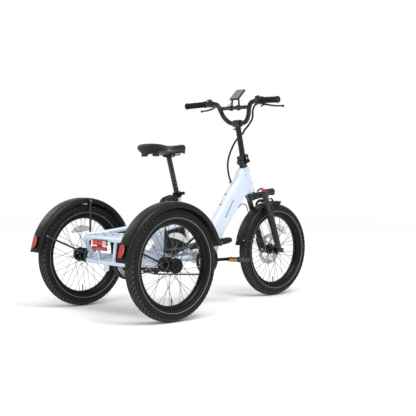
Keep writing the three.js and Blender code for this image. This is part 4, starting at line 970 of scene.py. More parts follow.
def make_motor():
    centre = at(0, 0, AXLE_Z)
    shell = [(12.4, MOTOR_INNER), (60, MOTOR_INNER), (64, MOTOR_INNER - 2), (82, MOTOR_INNER - 3),
             (90, MOTOR_INNER - 4), (95, MOTOR_INNER - 7), (MOTOR_RADIUS, MOTOR_INNER - 11),
             (MOTOR_RADIUS, MOTOR_INNER - 14), (95.5, MOTOR_INNER - 15), (95.5, MOTOR_INNER - 17),
             (MOTOR_RADIUS, MOTOR_INNER - 18), (MOTOR_RADIUS, MOTOR_OUTER + 8), (94, MOTOR_OUTER + 3),
             (86, MOTOR_OUTER + 1), (40, MOTOR_OUTER + 1), (36, MOTOR_OUTER), (12.4, MOTOR_OUTER)]
    fins = [block(at(MOTOR_INNER - 4.6, -2, 62), at(MOTOR_INNER - 1.6, 2, 84), 0.8)]
    ribs = []
    for i in range(24):
        ribs += [moved(fin, Matrix.Translation(centre) @ Matrix.Rotation(TAU * i / 24, 4, "X")) for fin in fins]
    screws = [socket_screw(centre + at(MOTOR_INNER - 4.5, 90 * math.cos(TAU * i / 12),
            90 * math.sin(TAU * i / 12)),
                           X, 3.0, 2.4) for i in range(12)]
    lead = smooth([at(-30, -60, AXLE_Z - 74), at(-26, -110, 196), at(-20, -190, 214), at(-14, -300, 236),
                   at(-8, -388, 246)], 40)
    piece("motor_shell", "frame", [
        (cast_shell, turned(shell, centre, X, 96, closed=True), *ribs), (black_oxide, *screws),
        (pvc_jacket, swept(lead, 3.6, 12)),
    ], ["drive_motor"], sharp=30)


def toothed(teeth, centre, half_width, bore, windows=()):
    """A sprocket with one tooth for each link."""
    pitch_radius = CHAIN_PITCH / (2 * math.sin(math.pi / teeth))
    outline = []
    for i in range(teeth * 4):
        radius = pitch_radius + (-3.4, -0.6, 3.2, -0.6)[i % 4]
        turn = TAU * i / (teeth * 4)
        outline.append((radius * math.cos(turn), radius * math.sin(turn)))
    return plate(outline, -half_width, half_width, lambda u, v, depth: centre + at(depth, u, v),
                 [circle(0, 0, bore, 28), *windows])


def chain_path():
    """The tightest loop round the chainring, the sprocket and the jockey wheel."""
    dots = []
    for y, z, teeth in ((CRANK_Y, CRANK_Z, RING_TEETH), (0, AXLE_Z, SPROCKET_TEETH), (JOCKEY.y, JOCKEY.z,
            JOCKEY_TEETH)):
        radius = CHAIN_PITCH / (2 * math.sin(math.pi / teeth))
        dots += circle(y, z, radius, 120)
    dots.sort()

    def half(points):
        kept = []
        for point in points:
            while len(kept) > 1 and cross_product(kept[-2], kept[-1], point) <= 0:
                kept.pop()
            kept.append(point)
        return kept[:-1]

    def cross_product(o, a, b):
        return (a[0] - o[0]) * (b[1] - o[1]) - (a[1] - o[1]) * (b[0] - o[0])

    loop = [at(CHAIN_X, y, z) for y, z in half(dots) + half(dots[::-1])]
    length = sum((b - a).length for a, b in zip(loop, loop[1:] + loop[:1]))
    return evenly(loop, 2 * round(length / CHAIN_PITCH / 2), closed=True)


def chain_link(a, b, offset):
    """Two waisted side plates and a roller."""
    along = (b - a).normalized()
    across = along.cross(X)
    length = (b - a).length
    outline = []
    for i in range(17):
        turn = math.pi / 2 + math.pi * i / 16
        outline.append((4.1 * math.cos(turn), 4.1 * math.sin(turn)))
    outline += [(length / 2, -2.9)]
    for i in range(17):
        turn = -math.pi / 2 + math.pi * i / 16
        outline.append((length + 4.1 * math.cos(turn), 4.1 * math.sin(turn)))
    outline += [(length / 2, 2.9)]
    outline = outline[::2]

    def place(u, v, depth):
        return a + along * u + across * v + X * depth

    return [plate(outline, offset, offset + 1, place), plate(outline, -offset - 1, -offset, place),
            cross(a.x - offset - 1.2, a.x + offset + 1.2, a.y, a.z, 2.0, 8)]


def make_drive():
    links = chain_path()
    shapes = []
    for i, a in enumerate(links):
        shapes += chain_link(a, links[(i + 1) % len(links)], 2.4 if i % 2 else 1.4)
    piece("roller_chain", "frame", [(oiled_steel, *shapes)], ["chain"])
    sprocket_windows = [circle(22 * math.cos(TAU * i / 5), 22 * math.sin(TAU * i / 5), 5, 16) for i in range(5)]
    piece("freewheel_sprocket", "sprocket", [
        (oiled_steel, toothed(SPROCKET_TEETH, at(CHAIN_X, 0, AXLE_Z), 1.1, 9.4, sprocket_windows)),
        (black_oxide, tube_ring(9.4, 15, -4, 4, at(CHAIN_X, 0, AXLE_Z), X)),
    ], ["rear_sprocket"], sharp=30)
    piece("jockey_roller", "jockey", [
        (nylon, toothed(JOCKEY_TEETH, JOCKEY, 1.2, 4)),
        (zinc_plate, tube_ring(2.8, 6.4, -2.6, 2.6, JOCKEY, X, 20)),
    ], ["jockey_wheel"], sharp=30)
    cage = [(-62, 216), (-70, 229), (-160, 219), (-172, 208), (-164, 199), (-80, 206)]
    plates = [plate(rounded(cage, 9, 4), x, x + 2.6, side_on(), [long_slot(-112, 212, 14, 4)])
              for x in (CHAIN_X - 9, CHAIN_X + 5.2)]
    body = plate(rounded([(-84, 208), (-58, 206), (-8, 236), (-12, 244), (-30, 244), (-80, 232)], 8, 4),
                 CHAIN_X - 18, CHAIN_X - 10, side_on())
    pivots = [socket_screw(at(CHAIN_X - 18, y, z), -X, 4.4, 2) for y, z in ((-70, 219), (-22, 238))]
    pin = cross(CHAIN_X - 9, CHAIN_X + 7.5, JOCKEY.y, JOCKEY.z, 2.6, 16)
    piece("tensioner_cage", "frame", [
        (nylon, *plates, body), (zinc_plate, *pivots, pin),
    ], ["derailleur"], bevel=0.7)
    guard = [(-366, 300), (-440, 308), (-560, 312), (-655, 325), (-677, 333), (-679, 345), (-664, 356), (-560,
            347),
             (-440, 343), (-366, 326)]
    outer = plate(rounded(guard, 8, 3), CHAIN_X - 12, CHAIN_X - 9, side_on())
    lip = plate(rounded([(-372, 322), (-440, 337), (-560, 341), (-655, 350), (-670, 354), (-664, 356), (-560,
            347),
                         (-440, 343), (-366, 326)], 1, 2), CHAIN_X - 10, CHAIN_X + 12, side_on())
    screws = [socket_screw(at(CHAIN_X - 12, y, z), -X, 3.4, 1.4) for y, z in ((-420, 322), (-600, 330))]
    rib = swept(smooth([at(CHAIN_X - 12, -380, 308), at(CHAIN_X - 12.4, -480, 318), at(CHAIN_X - 12.4, -580,
            324),
                        at(CHAIN_X - 12, -650, 335)], 24), 1.6, 8)
    piece("chain_cover", "frame", [(polypropylene, outer, lip, rib), (zinc_plate, *screws)],
          ["chain_guard"], bevel=0.8)


# ---- cranks and pedals ----
CRANK_LENGTH = 166
ARM_INNER = 80
ARM_WIDTH = 12
PEDAL_SPAN = 94
PEDAL_START = ARM_INNER + ARM_WIDTH + 4


def crank_arm(sign, toward):
    """A forged arm: round at both ends, slim between."""
    sections = []
    for share in [i / 18 for i in range(19)]:
        reach = -16 + (CRANK_LENGTH + 28) * share
        inner_round = math.sqrt(max(0.02, 1 - max(0, -reach / 16.2) ** 2))
        outer_round = math.sqrt(max(0.02, 1 - max(0, (reach - CRANK_LENGTH) / 12.2) ** 2))
        half = (16 - 7 * min(1, max(0, reach) / 40) + 3 * max(0, (reach - CRANK_LENGTH + 30) / 30)) \
            * inner_round * outer_round
        low = ARM_INNER
        high = ARM_INNER + ARM_WIDTH
        y = CRANK_Y + toward * reach
        outline = rounded([(low, -half), (high, -0.8 * half), (high, 0.8 * half), (low, half)], 3, 3)
        sections.append([at(sign * u, y, CRANK_Z + v) for u, v in outline])
    return loft(sections)


def make_cranks():
    centre = at(CHAIN_X, CRANK_Y, CRANK_Z)
    windows = []
    for i in range(5):
        turn = TAU * i / 5
        window = [(56, -0.42), (60, 0), (56, 0.42), (26, 0.3), (22, 0), (26, -0.3)]
        points = [(r * math.cos(turn + t), r * math.sin(turn + t)) for r, t in window]
        windows.append(rounded(points, 6, 3))
    arms = [crank_arm(sign, 1 if side == "left" else -1) for side, sign in SIDES]
    axles, caps = [], []
    for side, sign in SIDES:
        y = CRANK_Y + (CRANK_LENGTH if side == "left" else -CRANK_LENGTH)
        axles.append(cross(*sorted((sign * (ARM_INNER + 2), sign * (PEDAL_START + PEDAL_SPAN - 2))), y, CRANK_Z,
                           4.5, 16))
        caps.append(socket_screw(at(sign * (ARM_INNER + ARM_WIDTH - 1), CRANK_Y, CRANK_Z), X * sign, 10, 2.6))
        caps.append(socket_screw(at(sign * (ARM_INNER + ARM_WIDTH - 1), y, CRANK_Z), X * sign, 6.5, 1.8))
    piece("crank_forging", "crank", [
        (anodised_black, *arms, toothed(RING_TEETH, centre, 1.6, 17, windows)),
        (zinc_plate, cross(-ARM_INNER - 2, ARM_INNER + 2, CRANK_Y, CRANK_Z, 9, 24), *axles),
        (black_oxide, *caps, tube_ring(9.2, 20, -7, -1.8, centre, X)),
    ], ["crankset"], sharp=34)
    for side, sign in SIDES:
        make_pedal(side, sign)


def make_pedal(side, sign):
    y = CRANK_Y + (CRANK_LENGTH if side == "left" else -CRANK_LENGTH)
    middle_x = sign * (PEDAL_START + PEDAL_SPAN / 2)
    half = PEDAL_SPAN / 2

    def place(u, v, depth):
        return at(middle_x + u, y + v, CRANK_Z + depth)

    windows = [rounded([(u - 15, v - 12), (u + 15, v - 12), (u + 15, v + 12), (u - 15, v + 12)], 4, 3)
               for u in (-23, 23) for v in (-24, 24)]
    body = plate(rounded([(-half, -34), (-half + 9, -43), (half - 9, -43), (half, -34), (half, 34), (half - 9,
            43),
                          (-half + 9, 43), (-half, 34)], 4, 3), -9, 9, place, windows)
    barrel = tube_ring(5.4, 11, -half + 2, half - 2, at(middle_x, y, CRANK_Z), X)
    pins = [rod(at(middle_x + u, y + v, CRANK_Z - 11.5), at(middle_x + u, y + v, CRANK_Z + 11.5), 2.2, sides=8)
            for u in (-40, -20, 0, 20, 40) for v in (-38, 38)]
    lenses = [block(at(middle_x - 27, y + v - 2.5, CRANK_Z - 7), at(middle_x + 27, y + v + 2.5, CRANK_Z + 7),
                    1.2)
              for v in (-42.4, 42.4)]
    piece(f"pedal_platform_{side}", f"pedal_{side}_body", [
        (nylon, body, barrel, *pins), (lens_amber, *lenses),
    ], [f"pedal_{side}"], sharp=34)


# ---- fenders, stays, reflectors and tail lamp ----
FENDER_CROWN = TYRE_RADIUS + 34
FENDER_LIP = TYRE_RADIUS + 4
FENDER_HALF = 45


def on_round(x, angle, radius, centre_y=0.0):
    turn = math.radians(angle)
    return at(x, centre_y + radius * math.cos(turn), AXLE_Z + radius * math.sin(turn))


def fender_section(half, crown, lip, wall):
    """Outer and inner line of a round-shouldered fender, as (x, radius)."""
    base = lip + 0.42 * (crown - lip)
    outer, inner = [(half, lip)], [(half - wall, lip)]
    for i in range(17):
        turn = math.pi * i / 16
        share_x = abs(math.cos(turn)) ** 0.62 * (1 if i < 8 else -1)
        share_r = math.sin(turn) ** 0.62
        outer.append((half * share_x, base + (crown - base) * share_r))
        inner.append(((half - wall) * share_x, base + (crown - wall - base) * share_r))
    outer.append((-half, lip))
    inner.append((-half + wall, lip))
    return outer + inner[::-1]


def fender(x, centre_y, half, crown, lip, start, stop, count=72, corner=24):
    """The shell; its skirts run out in a round corner at each end."""
    sections = []
    for i in range(count + 1):
        share = i / count
        angle = start + (stop - start) * share
        to_end = min(share, 1 - share) * math.radians(abs(stop - start)) * crown
        missing = 1 - min(1, to_end / corner)
        lift = (crown - 8 - lip) * (1 - math.sqrt(1 - missing * missing))
        section = fender_section(half, crown, lip + lift, 2.6)
        sections.append([on_round(x + u, angle, r, centre_y) for u, r in section])
    return loft(sections)


def outward(angle):
    turn = math.radians(angle)
    return at(0, math.cos(turn), math.sin(turn))


def make_fenders():
    for side, sign in SIDES:
        x = sign * HALF_TRACK
        inside = x - sign * (FENDER_HALF + 5.4)
        hub = x - sign * 58
        crown_screws = [socket_screw(on_round(x + u, angle, FENDER_CROWN - 0.6), outward(angle), 4.2, 1.8)
                        for angle in (86, 98) for u in (-17, 17)]
        piece(f"fender_shell_{side}", "frame", [
            (polypropylene, fender(x, 0, FENDER_HALF, FENDER_CROWN, FENDER_LIP, 5, 164)),
            (zinc_plate, *crown_screws),
        ], [f"rear_fender_{side}"], sharp=50)
        bracket = tube_ring(21, 37, -3, 3, at(hub, 0, AXLE_Z), X)
        arms, ends, screws = [], [], []
        for angle in (23, 148):
            tip = on_round(inside, angle, FENDER_LIP + 8)
            arms.append(rod(on_round(hub, angle, 24), tip, 4.8, sides=18))
            ends.append(cross(inside - 5, inside + 5, tip.y, tip.z, 7))
            screws.append(socket_screw(tip - X * sign * 5, -X * sign, 5, 2.6))
        bolts = [socket_screw(on_round(hub - sign * 3, 60 + 120 * i, 30), -X * sign, 2.6,
                              1.6) for i in range(3)]
        piece(f"fender_stay_wires_{side}", "frame", [
            (enamel_black, bracket, *arms, *ends), (zinc_plate, *screws, *bolts),
        ], [f"fender_stays_{side}"])
        bar_end = at(hub, -2, AXLE_Z + 38.6)
        crown_end = at(inside, -8, AXLE_Z + FENDER_LIP + 14)
        head = cross(inside - 5, inside + 5, crown_end.y, crown_end.z, 8)
        piece(f"fender_bracket_{side}", "frame", [
            (enamel_black, rod(bar_end, crown_end, 4.5, sides=18), head),
            (zinc_plate, socket_screw(crown_end - X * sign * 5, -X * sign, 5, 2.6)),
        ], [f"fender_top_stay_{side}"])
        make_reflector(side, x)


def make_reflector(side, x):
    angle = 15
    out = outward(angle)
    up = at(0, -out.z, out.y)
    base = on_round(x, angle, FENDER_CROWN + 0.6)

    def place(u, v, depth):
        return base + X * u + up * v + out * depth

    def stadium(half, tall):
        return rounded([(-half, -tall), (half, -tall), (half, tall), (-half, tall)], half * 0.98, 8)

    cup = plate(stadium(17, 33), 0, 7.6, place)
    lens = plate(stadium(14.6, 30.6), 6, 9.2, place)
    sliver = plate(rounded([(-16.9, -14), (-15, -14), (-15, 14), (-16.9, 14)], 0.9, 3), 1, 7.8, place)
    piece(f"reflector_lamp_{side}", "frame", [
        (abs_gloss, cup), (lens_clear, sliver), (lens_red, lens),
    ], [f"rear_reflector_{side}"], bevel=0.7)


def make_tail_lamp():
    face = CARRIER_Y + 12.6
    case = block(at(-25, face, 339), at(90, face + 5, 366), 3, 3)
    hood = block(at(-24.4, face + 4, 363.6), at(89.4, face + 9.6, 366), 1)
    lenses = [(lens_pink, block(at(-20, face + 3, 340.4), at(10, face + 9.4, 364.6), 2.4, 3)),
              (lens_red, block(at(10.6, face + 3, 340.4), at(50, face + 9.6, 364.6), 2.4, 3)),
              (lens_orange, block(at(50.6, face + 3, 340.4), at(88.6, face + 9.4, 364.6), 2.4, 3))]
    bar_case = block(at(-18, face - 2.5, 314), at(99, face + 3, 334), 2.4, 3)
    bar_lens = block(at(-16.4, face + 1, 315.6), at(97.4, face + 7.4, 332.4), 2.4, 3)
    bridge = block(at(20, face, 320), at(50, face + 3.4, 350), 1.5)
    piece("tail_lamp", "frame", [
        (abs_gloss, case, hood, bar_case, bridge), *lenses, (lens_red, bar_lens),
    ], ["tail_light"], sharp=34)


def make_rear_caliper():
    disc_x = -52
    outer = block(at(disc_x - 9.5, -78, AXLE_Z + 30), at(disc_x - 1.7, -40, AXLE_Z + 100), 3, 3)
    inner = block(at(disc_x + 1.7, -78, AXLE_Z + 30), at(MOTOR_OUTER - 0.4, -40, AXLE_Z + 100), 1.2)
    bridge = block(at(disc_x - 9, -76, AXLE_Z + 90), at(MOTOR_OUTER - 0.6, -42, AXLE_Z + 100), 2, 3)
    bolts = [socket_screw(at(disc_x - 9.5, -59, AXLE_Z + rise), -X, 5, 2.6) for rise in (44, 82)]
    piece("caliper_rear_body", "frame", [
        (cast_shell, outer, inner, bridge), (black_oxide, *bolts),
    ], ["rear_caliper"])


# ---- seat and battery ----
RAIL_Z = 794
POST_TOP = on_seat(0, 0, -(RAIL_Z - 8 - 575) / math.cos(SEAT_ANGLE))
POST_RADIUS = 13.6
SADDLE_REAR = -125
SADDLE_LENGTH = 266
SADDLE_HALF = 100
SADDLE_TOP = 850


def saddle_half_width(t):
    rear = math.sqrt(max(0.02, 1 - (max(0.0, 0.14 - t) / 0.145) ** 2))
    ease = min(1.0, max(0.0, (t - 0.14) / 0.58))
    waist = 1 - 0.775 * ease * ease * (3 - 2 * ease)
    nose = math.sqrt(max(0.03, 1 - (max(0.0, t - 0.9) / 0.102) ** 2))
    return SADDLE_HALF * rear * waist * nose


def saddle_line(t, turn):
    """A point of the cover: t runs from rear to nose, turn goes round from the right edge over the top."""
    half = saddle_half_width(t)
    thick = 53 - 8 * t - 4 * (t - 0.5) ** 2
    top = SADDLE_TOP - 11 * math.sin(math.pi * t) + 3 * t - 13 * max(0.0, 1 - t / 0.1) ** 2 \
        - 9 * max(0.0, (t - 0.9) / 0.1) ** 2
    y = SADDLE_REAR - SADDLE_LENGTH * t
    c, s = math.cos(turn), math.sin(turn)
    if s >= 0:
        x = half * abs(c) ** 0.75 * (1 if c > 0 else -1)
        dome = 0.36 * thick
        groove = 3.2 * math.exp(-(x / 9) ** 2) * math.sin(math.pi * min(1, max(0, (t - 0.08) / 0.84)))
        return at(x, y, top - dome + dome * s ** 0.8 - groove)
    tuck = 0.92 - 0.2 * s * s
    return at(half * abs(c) ** 0.55 * (1 if c > 0 else -1) * tuck / 0.92, y,
              top - 0.36 * thick + 0.62 * thick * s)


def saddle_seam(turn, from_t, to_t, lift):
    points = []
    for i in range(40):
        point = saddle_line(from_t + (to_t - from_t) * i / 39, turn)
        points.append(point + at(0, 0, lift))
    return points


def make_seat():
    outside = tube_ring(SEAT_TUBE_RADIUS + 0.4, SEAT_TUBE_RADIUS + 5, 0.4, 14, SEAT_TOP, on_seat(0, 0,
            -1) - SEAT_TOP)
    top_ring = tube_ring(POST_RADIUS + 0.9, SEAT_TUBE_RADIUS + 5, 13.6, 26, SEAT_TOP, on_seat(0, 0,
            -1) - SEAT_TOP)
    lug = rod(on_seat(-11, -26, -13), on_seat(12, -26, -13), 7.6, sides=24)
    piece("seat_collar", "frame", [
        (anodised_black, outside, top_ring, lug), (zinc_plate,
                socket_screw(on_seat(12, -26, -13), X, 4.6, 2.4)),
    ], ["seat_clamp"])
    cam = rod(on_seat(-20, -28, -20), on_seat(-20, -28, -6), 8, sides=24)
    blade = swept(smooth([on_seat(-20, -28, -13), on_seat(-27, -18, -13), on_seat(-32, -2, -13),
                          on_seat(-33, 9, -13)], 16), 4.4, 14, flat=0.6)
    piece("collar_lever", "quick_release", [(anodised_black, cam, blade)], ["seat_lever"])

    post = rod(on_seat(0, 0, 230), POST_TOP, POST_RADIUS, sides=36)
    cradle = block(at(-19, POST_TOP.y - 22, RAIL_Z - 14), at(19, POST_TOP.y + 22, RAIL_Z - 1), 4, 3)
    cheeks = both(block(at(17, POST_TOP.y - 20, RAIL_Z - 9), at(29, POST_TOP.y + 20, RAIL_Z + 5.6), 3, 3))
    rail = smooth([at(22, POST_TOP.y - 62, RAIL_Z + 6), at(22, POST_TOP.y - 44, RAIL_Z), at(22, POST_TOP.y,
            RAIL_Z),
                   at(22, POST_TOP.y + 50, RAIL_Z), at(24, POST_TOP.y + 73, RAIL_Z + 5)], 40)
    bolt = cross(-30, 30, POST_TOP.y, RAIL_Z - 6, 4)
    marks = [torus(on_seat(0, 0, -drop), on_seat(0, 0, -1) - SEAT_TOP, POST_RADIUS - 0.1, 0.35, 36)
             for drop in (60, 80, 100, 120)]
    piece("seat_pillar", "seat", [
        (enamel_gloss, post), (anodised_black, cradle, *cheeks), (enamel_black, *both(swept(rail, 3.5, 12))),
        (zinc_plate, bolt), (machined_grey, *marks),
    ], ["seatpost"])

    sections = []
    steps_along = [0.0, 0.004, 0.014, 0.03, 0.05, 0.075] + [0.1 + 0.8 * i / 30 for i in range(31)] \
        + [0.925, 0.95, 0.97, 0.985, 0.995, 1.0]
    for t in steps_along:
        sections.append([saddle_line(t, TAU * (i + 0.5) / 44) for i in range(44)])
    cover = loft(sections)
    piping = both(swept(evenly(saddle_seam(0.02, 0.02, 0.985, -0.4), 60), 1.5, 8))
    seams = both(swept(evenly(saddle_seam(math.radians(42), 0.04, 0.93, 0.25), 60), 0.8, 6))
    stitches = []
    for t in [0.05 + 0.88 * i / 80 for i in range(81)]:
        a = saddle_line(t, math.radians(44)) + at(0, 0, 0.5)
        b = saddle_line(t + 0.006, math.radians(44)) + at(0, 0, 0.5)
        stitches += both(rod(a, b, 0.5, sides=5, edge=0.2))
    panels = []
    for sign in (1, -1):
        rows = []
        for i in range(25):
            t = 0.3 + 0.6 * i / 24
            rows.append([saddle_line(t, -math.radians(turn)) for turn in (8, 16, 24, 32)])
        patch = [[at(sign * (c.x + 1.0), c.y, c.z) for c in row]
                 + [at(sign * (c.x - 2.0), c.y, c.z) for c in reversed(row)] for row in rows]
        panels.append(loft(patch))
    cushions = both(rod(at(44, SADDLE_REAR - 32, RAIL_Z - 12), at(46, SADDLE_REAR - 32, RAIL_Z + 24), 17, 15,
                        28))
    base = block(at(-15, SADDLE_REAR - 220, RAIL_Z + 8), at(15, SADDLE_REAR - 60, RAIL_Z + 14), 2)
    saddle = piece("saddle_cover", "seat", [
        (saddle_skin, cover), (saddle_panel, *panels), (nylon, *piping, *cushions, base), (thread, *seams,
                *stitches),
    ], ["saddle"], sharp=60)


BATTERY_OUTLINE = [(23.5, 275), (23.5, -22), (83.5, -22), (137.5, 34), (143.5, 52), (143.5, 261), (129.5, 275)]
BATTERY_HALF = 36


def pillow(outline, depths, place):
    """A solid over an outline that draws in towards its middle at given depths: (depth, inset)."""
    middle_u = sum(u for u, _ in outline) / len(outline)
    middle_v = sum(v for _, v in outline) / len(outline)
    reach_u = max(abs(u - middle_u) for u, _ in outline)
    reach_v = max(abs(v - middle_v) for _, v in outline)
    sections = []
    for depth, inset in depths:
        sections.append([place(middle_u + (u - middle_u) * (1 - inset / reach_u),
                               middle_v + (v - middle_v) * (1 - inset / reach_v), depth) for u, v in outline])
    return loft(sections)


def make_battery():
    outline = rounded([(u, v) for u, v in BATTERY_OUTLINE], 12, 5)

    def place(u, v, depth):
        return on_seat(depth, u, v)

    half = BATTERY_HALF
    depths = [(-half, 14), (-half, 9), (-half + 1, 6.5), (-half + 3, 5), (-half + 5, 4), (-half + 7, 1.6),
              (-half + 10, 0.4), (-half + 13, 0), (-0.8, 0), (-0.6, 0.9), (0.6, 0.9), (0.8, 0)]
    depths += [(-d, inset) for d, inset in reversed(depths[:8])]
    case = pillow(outline, depths, place)
    lock = rod(on_seat(-half + 5, 104, 30), on_seat(-half - 1.2, 104, 30), 7, sides=28)
    key = block(at(-1, -4.4, -0.8), at(1, 4.4, 0.8), 0.3)
    port = plate(rounded([(40, 246), (62, 246), (62, 266), (40, 266)], 6, 4), -half + 0.6, -half - 1.6, place)
    frame_holes = [socket_screw(on_seat(side * (half - 0.4), u, v), X * side, 2.6, 1.2)
                   for side in (1, -1) for u, v in ((38, -2), (38, 150), (130, 150), (118, 262), (38, 262))]
    grip = swept(smooth([on_seat(-16, 76, -17), on_seat(-16, 88, -12), on_seat(-16, 106, 8), on_seat(-16, 112,
            16)], 20),
                 5, 12)
    brass_screws = [socket_screw(on_seat(-half + 0.2, u, v), -X, 4, 1.4) for u, v in ((83, 128), (50, 146))]
    bars = [block(at(-3, -1, -1), at(3, 1, 1), 0.4)]
    gauge = [moved(bar,
                   Matrix.Translation(on_seat(-half - 0.1, 66 + 9 * i, 22))) for i in range(4) for bar in bars]
    piece("battery_case_shell", "battery_pack", [
        (abs_textured, case), (nylon, grip, port), (brass, *brass_screws),
        (zinc_plate, lock), (black_oxide, moved(key, Matrix.Translation(on_seat(-half - 1.4, 104, 30))),
                             *frame_holes,
                             *gauge),
    ], ["battery"], sharp=34)
    rail = plate(rounded([(16.6, -14), (22.9, -14), (22.9, 262), (16.6, 262)], 2, 3), -12, 12, place)
    rail_bolts = [socket_screw(on_seat(0, 22.4, drop), on_seat(0, 1, 0) - SEAT_TOP, 3.4, 0.6) for drop in (40,
            130, 220)]
    piece("battery_dock_rail", "frame", [(nylon, rail), (black_oxide, *rail_bolts)], bevel=0.8)


# ---- fork, front fender, front brake and headlamp ----
CROWN_TOP = -16
CROWN_BOTTOM = -48
LOWER_TOP = -150
STANCHION = 15
AXLE_UP = (HEAD_BOTTOM - at(0, FRONT_Y, AXLE_Z)).dot(on_steer(0, 0, 1) - HEAD_BOTTOM)
LOWER_END = -AXLE_UP + 26
FRONT_DISC_X = 33


def make_fork():
    steer_up = on_steer(0, 0, 1) - HEAD_BOTTOM
    crown = swept(smooth([on_leg(-LEG_X, -33, -3), on_leg(-44, -31, -10), on_steer(-18, 12, -31), on_steer(0, 6,
            -31),
                          on_steer(18, 12, -31), on_leg(44, -31, -10), on_leg(LEG_X, -33, -3)], 48),
                  lambda share: 17.5 + 3 * math.sin(math.pi * share), 24, flat=0.92)
    race = tube_ring(12, 24, -20, -0.4, HEAD_BOTTOM, steer_up)
    race_lip = tube_ring(12, 25.4, -6, -2, HEAD_BOTTOM, steer_up)
    boot = turned([(0, -50), (20, -50), (22, -46), (22.6, -34), (20, -20), (0, -20)], HEAD_BOTTOM, steer_up, 36)
    caps, tubes = [], []
    for sign in (1, -1):
        foot = on_leg(sign * LEG_X, 0)
        caps.append(turned([(0, CROWN_BOTTOM - 4), (18.6, CROWN_BOTTOM - 4), (20, CROWN_BOTTOM - 2), (20,
                CROWN_TOP - 3),
                            (18.6, CROWN_TOP - 1), (0, CROWN_TOP - 1)], foot, steer_up, 36))
        tubes.append(rod(on_leg(sign * LEG_X, LOWER_TOP - 80), on_leg(sign * LEG_X, CROWN_TOP - 4), STANCHION,
                         sides=36))
    left_cap = turned([(0, CROWN_TOP - 1), (14.4, CROWN_TOP - 1), (14.4, CROWN_TOP + 5), (13, CROWN_TOP + 6.4),
                       (7, CROWN_TOP + 6.4), (6, CROWN_TOP + 5), (0, CROWN_TOP + 5)], on_leg(LEG_X, 0),
                       steer_up, 36)
    steerer = rod(on_steer(0, 0, -50), on_steer(0, 0, HEAD_LENGTH + 40), 14, sides=32)
    piece("fork_crown_casting", "steering", [
        (enamel_black, crown, race, boot, *caps, *tubes, steerer), (zinc_plate, race_lip), (machined_grey,
                left_cap),
    ], ["fork_crown"], sharp=42)
    knob = turned([(0, CROWN_TOP + 0.4), (10, CROWN_TOP + 0.4), (12.4, CROWN_TOP + 2), (13, CROWN_TOP + 4),
                   (13, CROWN_TOP + 11), (11.6, CROWN_TOP + 13.6), (9, CROWN_TOP + 14), (0, CROWN_TOP + 14)],
                  on_leg(-LEG_X, 0), steer_up, 36)
    ridges = []
    for i in range(18):
        turn = TAU * i / 18
        spot = on_steer(-LEG_X + 12.9 * math.cos(turn), LEG_AHEAD + 12.9 * math.sin(turn), CROWN_TOP + 4)
        ridges.append(rod(spot, spot + steer_up * 7, 0.9, sides=8, edge=0.3))
    tab = rod(on_leg(-LEG_X - 17, CROWN_TOP + 11), on_leg(-LEG_X + 8, CROWN_TOP + 11), 4, sides=20)
    piece("lockout_dial", "lockout", [(anodised_red, knob, tab, *ridges)], ["lockout_knob"])

    shapes, wipers, screws = [], [], []
    for sign in (1, -1):
        x = sign * LEG_X
        shapes += [
            turned([(STANCHION + 0.6, LOWER_TOP), (18.6, LOWER_TOP), (19, LOWER_TOP - 1), (19, LOWER_TOP - 40),
                    (18.4, LOWER_TOP - 110), (17, LOWER_END + 30), (16, LOWER_END + 4), (14, LOWER_END), (0,
                            LOWER_END),
                    (0, LOWER_END + 3), (STANCHION + 0.6, LOWER_TOP - 90)], on_leg(x, 0), steer_up, 36),
            swept(smooth([on_leg(x, LOWER_END + 22), on_leg(x,
                    LOWER_END + 6).lerp(at(x * 0.94, FRONT_Y, AXLE_Z), 0.35),
                          at(x * 0.92, FRONT_Y, AXLE_Z)], 14), 11.4, 20),
            cross(*sorted((sign * 39.4, sign * (LEG_X + 8))), FRONT_Y, AXLE_Z, 13, 32, 2),
            torus(at(sign * (LEG_X + 8), FRONT_Y, AXLE_Z), X, 10.6, 1.6, 32),
        ]
        wipers.append(tube_ring(STANCHION + 0.5, 18.4, LOWER_TOP - 0.5, LOWER_TOP + 7, on_leg(x, 0), steer_up))
        wipers.append(torus(on_leg(x, LOWER_TOP - 4), steer_up, 18.4, 1.8, 36))
        screws.append(socket_screw(at(sign * (LEG_X + 8), FRONT_Y, AXLE_Z), X * sign, 8, 2.2))
    arch_half = [on_leg(LEG_X, LOWER_TOP - 14, 12), on_leg(LEG_X, LOWER_TOP + 2, 26), on_leg(LEG_X - 4,
            LOWER_TOP + 20, 33),
                 on_leg(54, LOWER_TOP + 42, 37), on_leg(36, -92, 40)]
    path = [at(-p.x, p.y, p.z) for p in arch_half] + [on_leg(0, -89, 40)] + arch_half[::-1]
    arch = swept(smooth(path, 72), lambda share: 8.6 + 1.8 * math.cos(TAU * share) ** 2, 20, flat=0.8)
    cap = rod(at(-LEG_X - 9.4, FRONT_Y, AXLE_Z), at(-LEG_X - 11.6, FRONT_Y, AXLE_Z), 5.4, sides=28)
    piece("fork_lower_casting", "fork_slider", [
        (enamel_black, *shapes, arch), (nylon, *wipers), (black_oxide, *screws), (cap_blue, cap),
    ], ["fork_lowers"], sharp=42)


